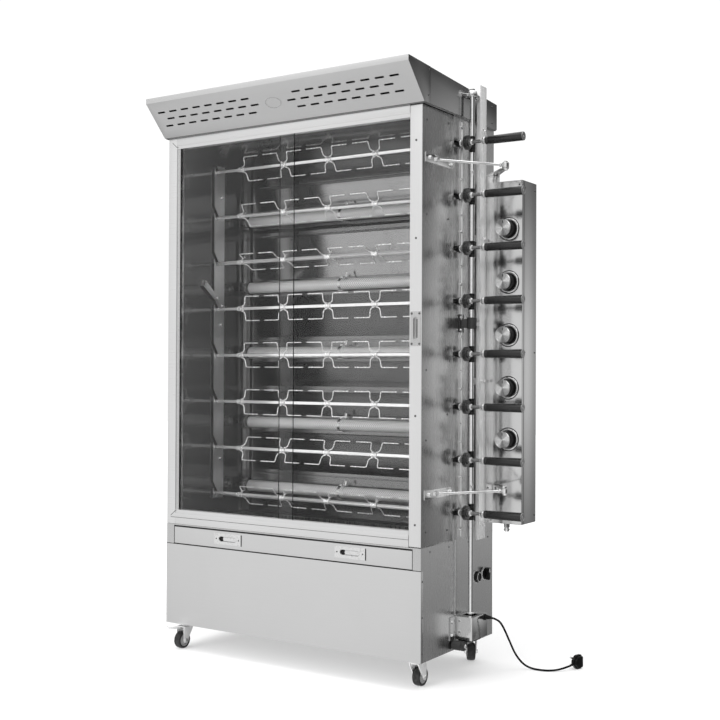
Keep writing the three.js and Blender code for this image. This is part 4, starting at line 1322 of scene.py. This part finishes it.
# ------------------------------------------------------------------ controls
def make_control_box():
    box = Piece("control_box_shell")
    box.box(BOX_LEFT, BOX_RIGHT, BOX_FRONT, CABINET_DEPTH, BOX_BOTTOM, BOX_TOP, CONTROL_STEEL, 1.4)
    seam = (BOX_FRONT + 14, BOX_FRONT + 15.2, BOX_BOTTOM + 1, BOX_TOP - 1)
    box.box(BOX_LEFT + 8, BOX_RIGHT + 0.6, *seam, SLOT_SHADOW, 0)
    inlet = (1203, 430)
    box.rod((*inlet, 485), (*inlet, BOX_BOTTOM + 1), 8, BRIGHT_STEEL, 18)
    box.nut((*inlet, 500), UP, 20, 15, BRIGHT_STEEL)
    box.turned([(10.6, 0), (10.6, 5), (9, 6)], (*inlet, 489), UP, BRIGHT_STEEL, 18)
    bezel = [(27, 0), (38.4, 0), (38.8, 1.5), (37.6, 3.4), (35, 4.5)]
    bezel += [(32.4, 4.3), (30.4, 3), (29.8, 1.4), (27, 1.2)]
    for z in KNOB_LEVELS:
        foot = (KNOB_X, BOX_FRONT + 0.1, z)
        box.ring(bezel, foot, AHEAD, BRIGHT_STEEL, 48)
        box.turned([(29.4, 0), (29.4, 1.4), (24, 2.6)], foot, AHEAD, BLACK_PLASTIC, 40)
        box.ring([(38, 0), (41.4, 0), (41.2, 0.8), (38, 0.8)], foot, AHEAD, SLOT_SHADOW, 48)
    for z, side in ((HINGE_LEVELS[0], 1), (HINGE_LEVELS[1], -1)):
        low, high = sorted((z + side * 9.5, z + side * 12.5))
        outline = [(1135, BOX_FRONT + 1), (1135, 396), (1244, 292)]
        for step in range(7):
            angle = math.radians(222 + step * 38)
            outline.append((HINGE_X + 12 * math.cos(angle), HINGE_Y + 12 * math.sin(angle)))
        outline.append((1185, BOX_FRONT + 1))
        box.prism(outline, "z", low, high, BRIGHT_STEEL, 0.6)
        box.rod((HINGE_X, HINGE_Y, z - side * 13), (HINGE_X, HINGE_Y, z + side * 15), 4, ZINC, 16)
        box.nut((HINGE_X, HINGE_Y, z + side * 12.4), (0, 0, side), 13, 5, BRIGHT_STEEL)
        box.nut((HINGE_X, HINGE_Y, z - side * 9.6), (0, 0, -side), 13, 5, BRIGHT_STEEL)
    lower, upper = HINGE_LEVELS
    box.boxes(  # the feet of the two hinge plates
        BRIGHT_STEEL, 0.6,
        (1135, 1185, BOX_FRONT + 0.1, BOX_FRONT + 2.5, BOX_TOP - 4, upper - 9.7),
        (1135, 1185, BOX_FRONT - 1.8, BOX_FRONT + 0.2, lower - 14, lower + 12),
    )
    box.done("oven", "brushed_steel", "control_box")
    spots = [(x, BOX_FRONT, z, AHEAD) for x in (1116, 1262) for z in (530, 1696)]
    spots += [(BOX_RIGHT, y, z, RIGHT) for y in (424, 506) for z in (540, 1113, 1686)]
    spots += [(x, BOX_FRONT - 1.8, lower - 3, AHEAD) for x in (1145, 1175)]
    fasten("control_screws", SCREW, "oven", "brushed_steel", spots, 0.8)
    make_scales()


def make_scales():
    """Short marks on the upper part of each bezel, at even steps round its knob."""
    mark = Piece("stamp_mark").box(-0.35, 0.35, -1.6, 1.6, 0, 0.25, BLACK_PLASTIC, 0).stamp()
    points, turns = [], []
    for z in KNOB_LEVELS:
        for step in range(19):
            angle = math.radians(-45 + step * 15)
            points.append((KNOB_X + 35 * math.cos(angle), BOX_FRONT - 4.3, z + 35 * math.sin(angle)))
            turns.append((math.pi / 2, math.pi / 2 - angle, 0))
    made = grow(SET_ON_POINTS, "bezel_marks", points, turns, Stamp=mark, Size=1.0, Finish=BLACK_PLASTIC)
    bpy.data.objects.remove(mark)
    take_home(made, "oven", "black_plastic")


def make_knob(number, z):
    name = f"gas_knob_{number}"
    knob = Piece(f"gas_knob_body_{number}")
    centre = (KNOB_X, BOX_FRONT - 4.6, z)
    skirt = [(25.5, 0), (26.4, 1), (26.4, 24), (25, 26), (25, 30)]
    skirt += [(27.6, 34), (28.4, 36), (28.4, 41.6), (27.4, 42.6)]
    knob.turned(skirt, centre, AHEAD, BLACK_PLASTIC, 48)
    face = (KNOB_X, KNOB_FRONT + 1.4, z)
    disc = [(28.2, -4.5), (28.9, -1.2), (28.2, 0), (27.2, 0.9), (25.8, 0.9), (25.4, 0.4), (1, 0.4)]
    knob.turned(disc, face, AHEAD, DIAL, 56)
    pointer = (KNOB_X - 1.5, KNOB_X + 1.5, KNOB_FRONT + 0.4, KNOB_FRONT + 1.6, z + 15, z + 25.5)
    knob.box(*pointer, BLACK_PLASTIC, 0.2)
    for groove in range(24):
        angle = 2 * math.pi * groove / 24
        x, high = KNOB_X + 26 * math.cos(angle), z + 26 * math.sin(angle)
        knob.rod((x, BOX_FRONT - 6, high), (x, BOX_FRONT - 33, high), 1.0, BLACK_PLASTIC, 6)
    made = knob.done(name, "face_aluminium", name)
    local = made.data.attributes.new("dial_place", "FLOAT_VECTOR", "POINT")
    middle = place((KNOB_X, KNOB_FRONT, z))
    for i, vertex in enumerate(made.data.vertices):
        local.data[i].vector = vertex.co - middle


def make_switches():
    lamp = Piece("lamp_button")
    seat = (1108.2, 388, 323)
    button = [(17, 0), (20, 1), (20, 5), (18.4, 8), (17.4, 10.4), (14, 11), (13, 8.6), (1, 8)]
    lamp.turned(button, seat, RIGHT, BLACK_PLASTIC, 36)
    lamp.rod((1097, 388, 323), (1109, 388, 323), 6.2, BLACK_PLASTIC, 16)
    lamp.ring([(14.6, 10.2), (17, 10.2), (16.4, 11.4), (15, 11.4)], seat, RIGHT, GREY_PLASTIC, 36)
    lamp.done("lamp_switch", "black_plastic", "lamp_switch")
    dial = Piece("motor_lever")
    dial.turned([(20, 0), (20, 4), (18, 6), (15, 7)], (1104.4, 455, 324), RIGHT, BLACK_PLASTIC, 36)
    lever = [(450, 303), (448.5, 318), (445.5, 345), (450, 346.5)]
    lever += [(460, 346.5), (464.5, 345), (461.5, 318), (460, 303)]
    dial.prism(lever, "x", 1109, 1125, BLACK_PLASTIC, 2.2)
    dial.box(1124.6, 1125.6, 453.6, 456.4, 330, 344, WHITE_PRINT, 0.3)
    dial.done("motor_switch", "black_plastic", "motor_switch")
    collar = Piece("switch_collars")
    rim = [(20.6, 0), (24, 0), (23.4, 2), (20.6, 2.6)]
    for y in (388, 455):
        collar.ring(rim, (1104.1, y, 323.5), RIGHT, GREY_PLASTIC, 40)
    collar.done("oven", "black_plastic")


# ------------------------------------------------------------------ side door
def make_side_door():
    bottom, top = 473.3, 1916.7
    outline = [(JAMB_LEFT, 0), (1104, 0), (1104, 214), (1086, 214), (1086, 22), (JAMB_LEFT, 22)]
    door = Piece("side_door_leaf").prism(outline, "z", bottom, top, DOOR_STEEL, 1.0)
    pull_place = Matrix.Translation((1081, 0, 1185.5)) @ Matrix.Rotation(math.pi / 2, 4, "Y")
    pocket = Piece("pocket").prism(slot_outline(0, 0, 77, 18), "y", -5, 14, SLOT_SHADOW, 0)
    door.carve(pocket.move(pull_place))
    plate = Piece("pull_plate").box(1062, 1100.6, -1.6, 0.2, 1128, 1241, SIDE_STEEL, 0.6)
    hole = Piece("hole").prism(slot_outline(0, 0, 75, 16), "y", -5, 6, SIDE_STEEL, 0)
    door.join(plate.carve(hole.move(pull_place)))
    door.rod((1086, 3.5, 1155), (1086, 3.5, 1216), 3, BLACK_PLASTIC, 12)
    # Painted shade: the leaf's faces that look to the right take the darker side steel in place of the door
    # steel.
    door.mesh.normal_update()
    for face in door.mesh.faces:
        if face.normal.x > 0.9 and door.finishes[face.material_index] == DOOR_STEEL:
            face.material_index = door._index(SIDE_STEEL)
    door.box(1058.5, 1103, -0.15, 0.4, 1914.8, 1915.6, SLOT_SHADOW, 0)
    for z in HINGE_LEVELS:
        bar = [(19, z - 16), (19, z + 16), (205, z + 14), (209, z + 9), (209, z - 9), (205, z - 14)]
        door.prism(bar, "x", 1104, 1107.2, BRIGHT_STEEL, 0.6)
        start, end = Vector((1111, 93, z)), Vector((HINGE_X, HINGE_Y, z))
        way = (end - start).normalized()
        door.box(1106, 1116, 80, 100, z - 6.5, z + 6.5, BRIGHT_STEEL, 2.4)
        door.rod(start, end - way * 10, 4.5, ROD_STEEL, 20)
        door.turned([(0.6, 0), (4.5, 26), (4.5, 34)], start - way * 30, way, ROD_STEEL, 20)
        door.nut(end - way * 22, way, 13, 6, ZINC)
        eye = [(4.4, 0), (11, 0), (12, 1.2), (12, 16.8), (11, 18), (4.4, 18)]
        door.ring(eye, (HINGE_X, HINGE_Y, z - 9), UP, BRIGHT_STEEL, 28)
    door.done("side_door", "brushed_steel", "side_door")
    bolts = [(1107.2, y, z, RIGHT) for z in HINGE_LEVELS for y in (44, 194)]
    fasten("door_bolts", BOLT, "side_door", "brushed_steel", bolts, 0.95)
    spots = [(1081, 0, z, AHEAD) for z in (1800, 1480, 900, 545)]
    spots += [(x, -1.6, z, AHEAD) for x in (1096, 1067) for z in (1135, 1234)]
    spots += [(1104, 30, z, RIGHT) for z in (1870, 1560, 1050, 820, 520)]
    spots += [(1104, 176, z, RIGHT) for z in (1885, 1560, 1210, 900, 510)]
    fasten("door_screws", SCREW, "side_door", "brushed_steel", spots, 0.95)


# ------------------------------------------------------------------ casters
def caster_turn(where):
    x, y, heading = CASTERS[where]
    return Matrix.Translation((x, y, 0)) @ Matrix.Rotation(math.radians(heading - 90), 4, "Z")


def make_caster(where):
    turn = caster_turn(where)
    fork = Piece(f"caster_fork_{where}_plates")
    fork.ring([(4, 0), (22, 0), (25, 2.5), (25, 5), (21, 8.5), (4, 8.5)], (0, 0, 84), UP, FORK_STEEL, 36)
    fork.turned([(17, 0), (20, 2), (20, 5)], (0, 0, 79.5), UP, FORK_STEEL, 32)
    fork.dome((0, 0, 84), DOWN, 6, 5, FORK_STEEL, 14)
    fork.box(-19, 19, -14, 38, 80, 83, FORK_STEEL, 1.0)
    for side in (-1, 1):
        x0 = 16 if side > 0 else -19
        leg = [(-14, 83), (-12, 74)]
        for step in range(9):
            angle = math.radians(200 + step * 20)
            leg.append((CASTER_TRAIL + 11 * math.cos(angle), WHEEL_RADIUS + 11 * math.sin(angle)))
        leg += [(39, 60), (38, 83)]
        fork.prism(leg, "x", x0, x0 + 3, FORK_STEEL, 0.8)
        fork.nut((side * 19, CASTER_TRAIL, WHEEL_RADIUS), (side, 0, 0), 13, 5, BRIGHT_STEEL)
    fork.rod((-20, CASTER_TRAIL, WHEEL_RADIUS), (20, CASTER_TRAIL, WHEEL_RADIUS), 4, FORK_STEEL, 14)
    fork.move(turn)
    fork.done(f"caster_{where}", "zinc_steel", f"caster_fork_{where}")

    wheel = Piece(f"caster_wheel_{where}_tyre")
    tyre = [(23, -13), (27, -14.5), (30, -13), (31.4, -9), (32, -3)]
    hub = [(4.3, -13), (8, -13), (9, -9), (20, -8), (22, -12), (23.2, -12.4)]
    for half, finish, sides in ((tyre, TYRE, 48), (hub, GREY_PLASTIC, 40)):
        whole = half + [(radius, -along) for radius, along in reversed(half)]
        wheel.ring(whole, (0, CASTER_TRAIL, WHEEL_RADIUS), RIGHT, finish, sides)
    for spoke in range(6):
        angle = 2 * math.pi * spoke / 6
        y, z = CASTER_TRAIL + 14 * math.cos(angle), WHEEL_RADIUS + 14 * math.sin(angle)
        wheel.rod((-10, y, z), (10, y, z), 2.2, GREY_PLASTIC, 8)
    wheel.move(turn)
    wheel.done(f"wheel_{where}", "rubber", f"caster_wheel_{where}")

    if where in BRAKED:
        pedal = Piece(f"brake_{where}_pedal")
        pedal.rod((-13, 50, 80), (13, 50, 80), 3, ZINC, 12)
        outline = [(49, 78), (49, 83), (70, 84.5), (104, 91.5), (120, 93), (121, 91), (106, 88.5), (72, 81)]
        pedal.prism(outline, "x", -12.5, 12.5, FORK_STEEL, 0.8)
        for grip in range(4):
            y = 98 + grip * 5
            pedal.box(-10, 10, y, y + 1.6, 90 + grip * 0.6, 92.2 + grip * 0.35, ZINC, 0.4)
        pedal.move(turn)
        pedal.done(f"brake_pedal_{where}", "zinc_steel", f"brake_pedal_{where}")


def make_caster_plates():
    spots = []
    for x, y, _ in CASTERS.values():
        spots += [(x + sx * 29, y + sy * 29, 93, DOWN) for sx in (-1, 1) for sy in (-1, 1)]
    fasten("caster_bolts", BOLT, "oven", "side_steel", spots, 0.6)


fork_shape = fork_stamp()
for count in range(1, SPIT_COUNT + 1):
    make_spit(count, fork_shape)
make_drive_shaft()
make_drive_column()
make_motor()
make_control_box()
for count, level in enumerate(KNOB_LEVELS, 1):
    make_knob(count, level)
make_switches()
make_side_door()
for corner in CASTERS:
    make_caster(corner)
make_caster_plates()
for stamp_object in (fork_shape, SCREW, BOLT):
    bpy.data.objects.remove(stamp_object)

# ------------------------------------------------------------------ finishes of the frame's own nodes
OWN_FINISHES = {
    "base_cabinet": SIDE_STEEL,
    "left_wall": SIDE_STEEL,
    "right_wall": SIDE_STEEL,
    "rear_reflector": CHAMBER_STEEL,
    "rear_cover": SIDE_STEEL,
    "roof_panel": CHAMBER_STEEL,
}
for node_name, finish in OWN_FINISHES.items():
    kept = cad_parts[node_name]
    kept.data.materials.clear()
    kept.data.materials.append(finish)


# ------------------------------------------------------------------ floor, sky and lamps
def make_floor():
    data = bpy.data.meshes.new("floor")
    reach = 14.0
    corners = [(x * reach, y * reach, 0) for x, y in ((-1, -1), (1, -1), (1, 1), (-1, 1))]
    data.from_pydata(corners, [], [(0, 1, 2, 3)])
    floor = put_in_scene("floor", data)
    made, tree, shader, where = new_finish("studio_floor", Roughness=0.6, Specular_IOR_Level=0.15)
    shader.inputs["Base Color"].default_value = (0.8, 0.8, 0.8, 1)
    flat = node(tree, "ShaderNodeVectorMath", {0: where, 1: (1, 1, 0)}, operation="MULTIPLY").outputs[0]
    far = node(tree, "ShaderNodeVectorMath", {0: flat}, operation="LENGTH").outputs["Value"]
    white = node(tree, "ShaderNodeEmission", {"Color": (1, 1, 1, 1), "Strength": 1.3})
    rays = tree.nodes.new("ShaderNodeLightPath").outputs["Is Camera Ray"]
    paleness = math_node(tree, "MULTIPLY", rays, range_node(tree, far, 1.0, 2.4, 0.3, 1.0))
    blend = node(tree, "ShaderNodeMixShader", {0: paleness, 1: shader.outputs[0], 2: white.outputs[0]})
    tree.links.new(blend.outputs[0], tree.nodes["Material Output"].inputs[0])
    data.materials.append(made)
    floor.visible_glossy = False


SKY_BANDS = (  # bearing in degrees (0 ahead of the oven, 90 to its right) and brightness
    (-180, 0.30), (-130, 0.12), (-100, 0.10), (-78, 0.55), (-58, 0.84), (-14, 0.84), (6, 0.60), (20, 0.95),
    (42, 0.95), (54, 0.40), (66, 0.10), (100, 0.10), (130, 0.32), (150, 0.70), (172, 0.34), (180, 0.30),
)
CEILING_LEVEL = 1.5
GROUND_LEVEL = 0.66


def make_sky():
    """A pale studio: bright ahead of the oven and overhead, greyer behind and to the right."""
    world = bpy.data.worlds.new("studio")
    bpy.context.scene.world = world
    world.use_nodes = True
    tree = world.node_tree
    tree.nodes.clear()
    way = tree.nodes.new("ShaderNodeTexCoord").outputs["Generated"]
    parts = node(tree, "ShaderNodeSeparateXYZ", {0: way})
    ahead = math_node(tree, "MULTIPLY", parts.outputs["Y"], -1.0)
    bearing = math_node(tree, "ARCTAN2", parts.outputs["X"], ahead)
    around = tree.nodes.new("ShaderNodeValToRGB")
    around.color_ramp.interpolation = "EASE"
    tree.links.new(range_node(tree, bearing, -math.pi, math.pi, 0.0, 1.0), around.inputs[0])
    stops = around.color_ramp.elements
    for _ in range(len(SKY_BANDS) - 2):
        stops.new(0.5)
    for stop, (degrees, grey) in zip(stops, SKY_BANDS):
        stop.position = degrees / 360 + 0.5
        stop.color = (grey, grey, grey, 1)
    tilt = math_node(tree, "ABSOLUTE", parts.outputs["Z"])
    behind = range_node(tree, parts.outputs["Y"], 0.0, 0.6, 0.0, 1.0)
    fall = math_node(tree, "MULTIPLY", behind, range_node(tree, tilt, 0.05, 0.26, 0.0, 0.7))
    level = math_node(tree, "MULTIPLY", around.outputs[0], math_node(tree, "SUBTRACT", 1.0, fall))
    polar = range_node(tree, tilt, 0.4, 0.75, 0.0, 1.0)
    end_level = range_node(tree, parts.outputs["Z"], -0.3, 0.3, GROUND_LEVEL, CEILING_LEVEL)
    far_end = math_node(tree, "MULTIPLY", polar, math_node(tree, "SUBTRACT", end_level, level))
    level = math_node(tree, "ADD", level, far_end)
    grey = node(tree, "ShaderNodeCombineXYZ", dict.fromkeys(range(3), level))
    lit = node(tree, "ShaderNodeBackground", {"Color": grey.outputs[0], "Strength": 1.0})
    seen = node(tree, "ShaderNodeBackground", {"Color": (1, 1, 1, 1), "Strength": 1.05})
    rays = tree.nodes.new("ShaderNodeLightPath").outputs["Is Camera Ray"]
    blend = node(tree, "ShaderNodeMixShader", {0: rays, 1: lit.outputs[0], 2: seen.outputs[0]})
    tree.links.new(blend.outputs[0], tree.nodes.new("ShaderNodeOutputWorld").inputs[0])


def add_lamp(name, spot, aim, size, power):
    """A soft rectangle of light, which lights surfaces without being mirrored in them."""
    data = bpy.data.lights.new(name, "AREA")
    data.shape = "RECTANGLE"
    data.size, data.size_y = size
    data.energy = power
    lamp = put_in_scene(name, data)
    lamp.visible_glossy = False
    way = (Vector(aim) - Vector(spot)).normalized()
    lamp.matrix_world = Matrix.Translation(spot) @ way.to_track_quat("-Z", "Y").to_matrix().to_4x4()


make_floor()
make_sky()
add_lamp("key", (-2.6, -3.4, 3.4), (0, 0, 1.0), (2.6, 2.6), 60)
add_lamp("chamber_light", (-0.9, -2.8, 1.1), (-0.1, 0.1, 1.2), (1.6, 1.6), 60)
add_lamp("overhead", (0.3, -0.4, 4.6), (0, 0, 0), (4.0, 3.0), 120)
bpy.context.scene.view_settings.view_transform = "Standard"
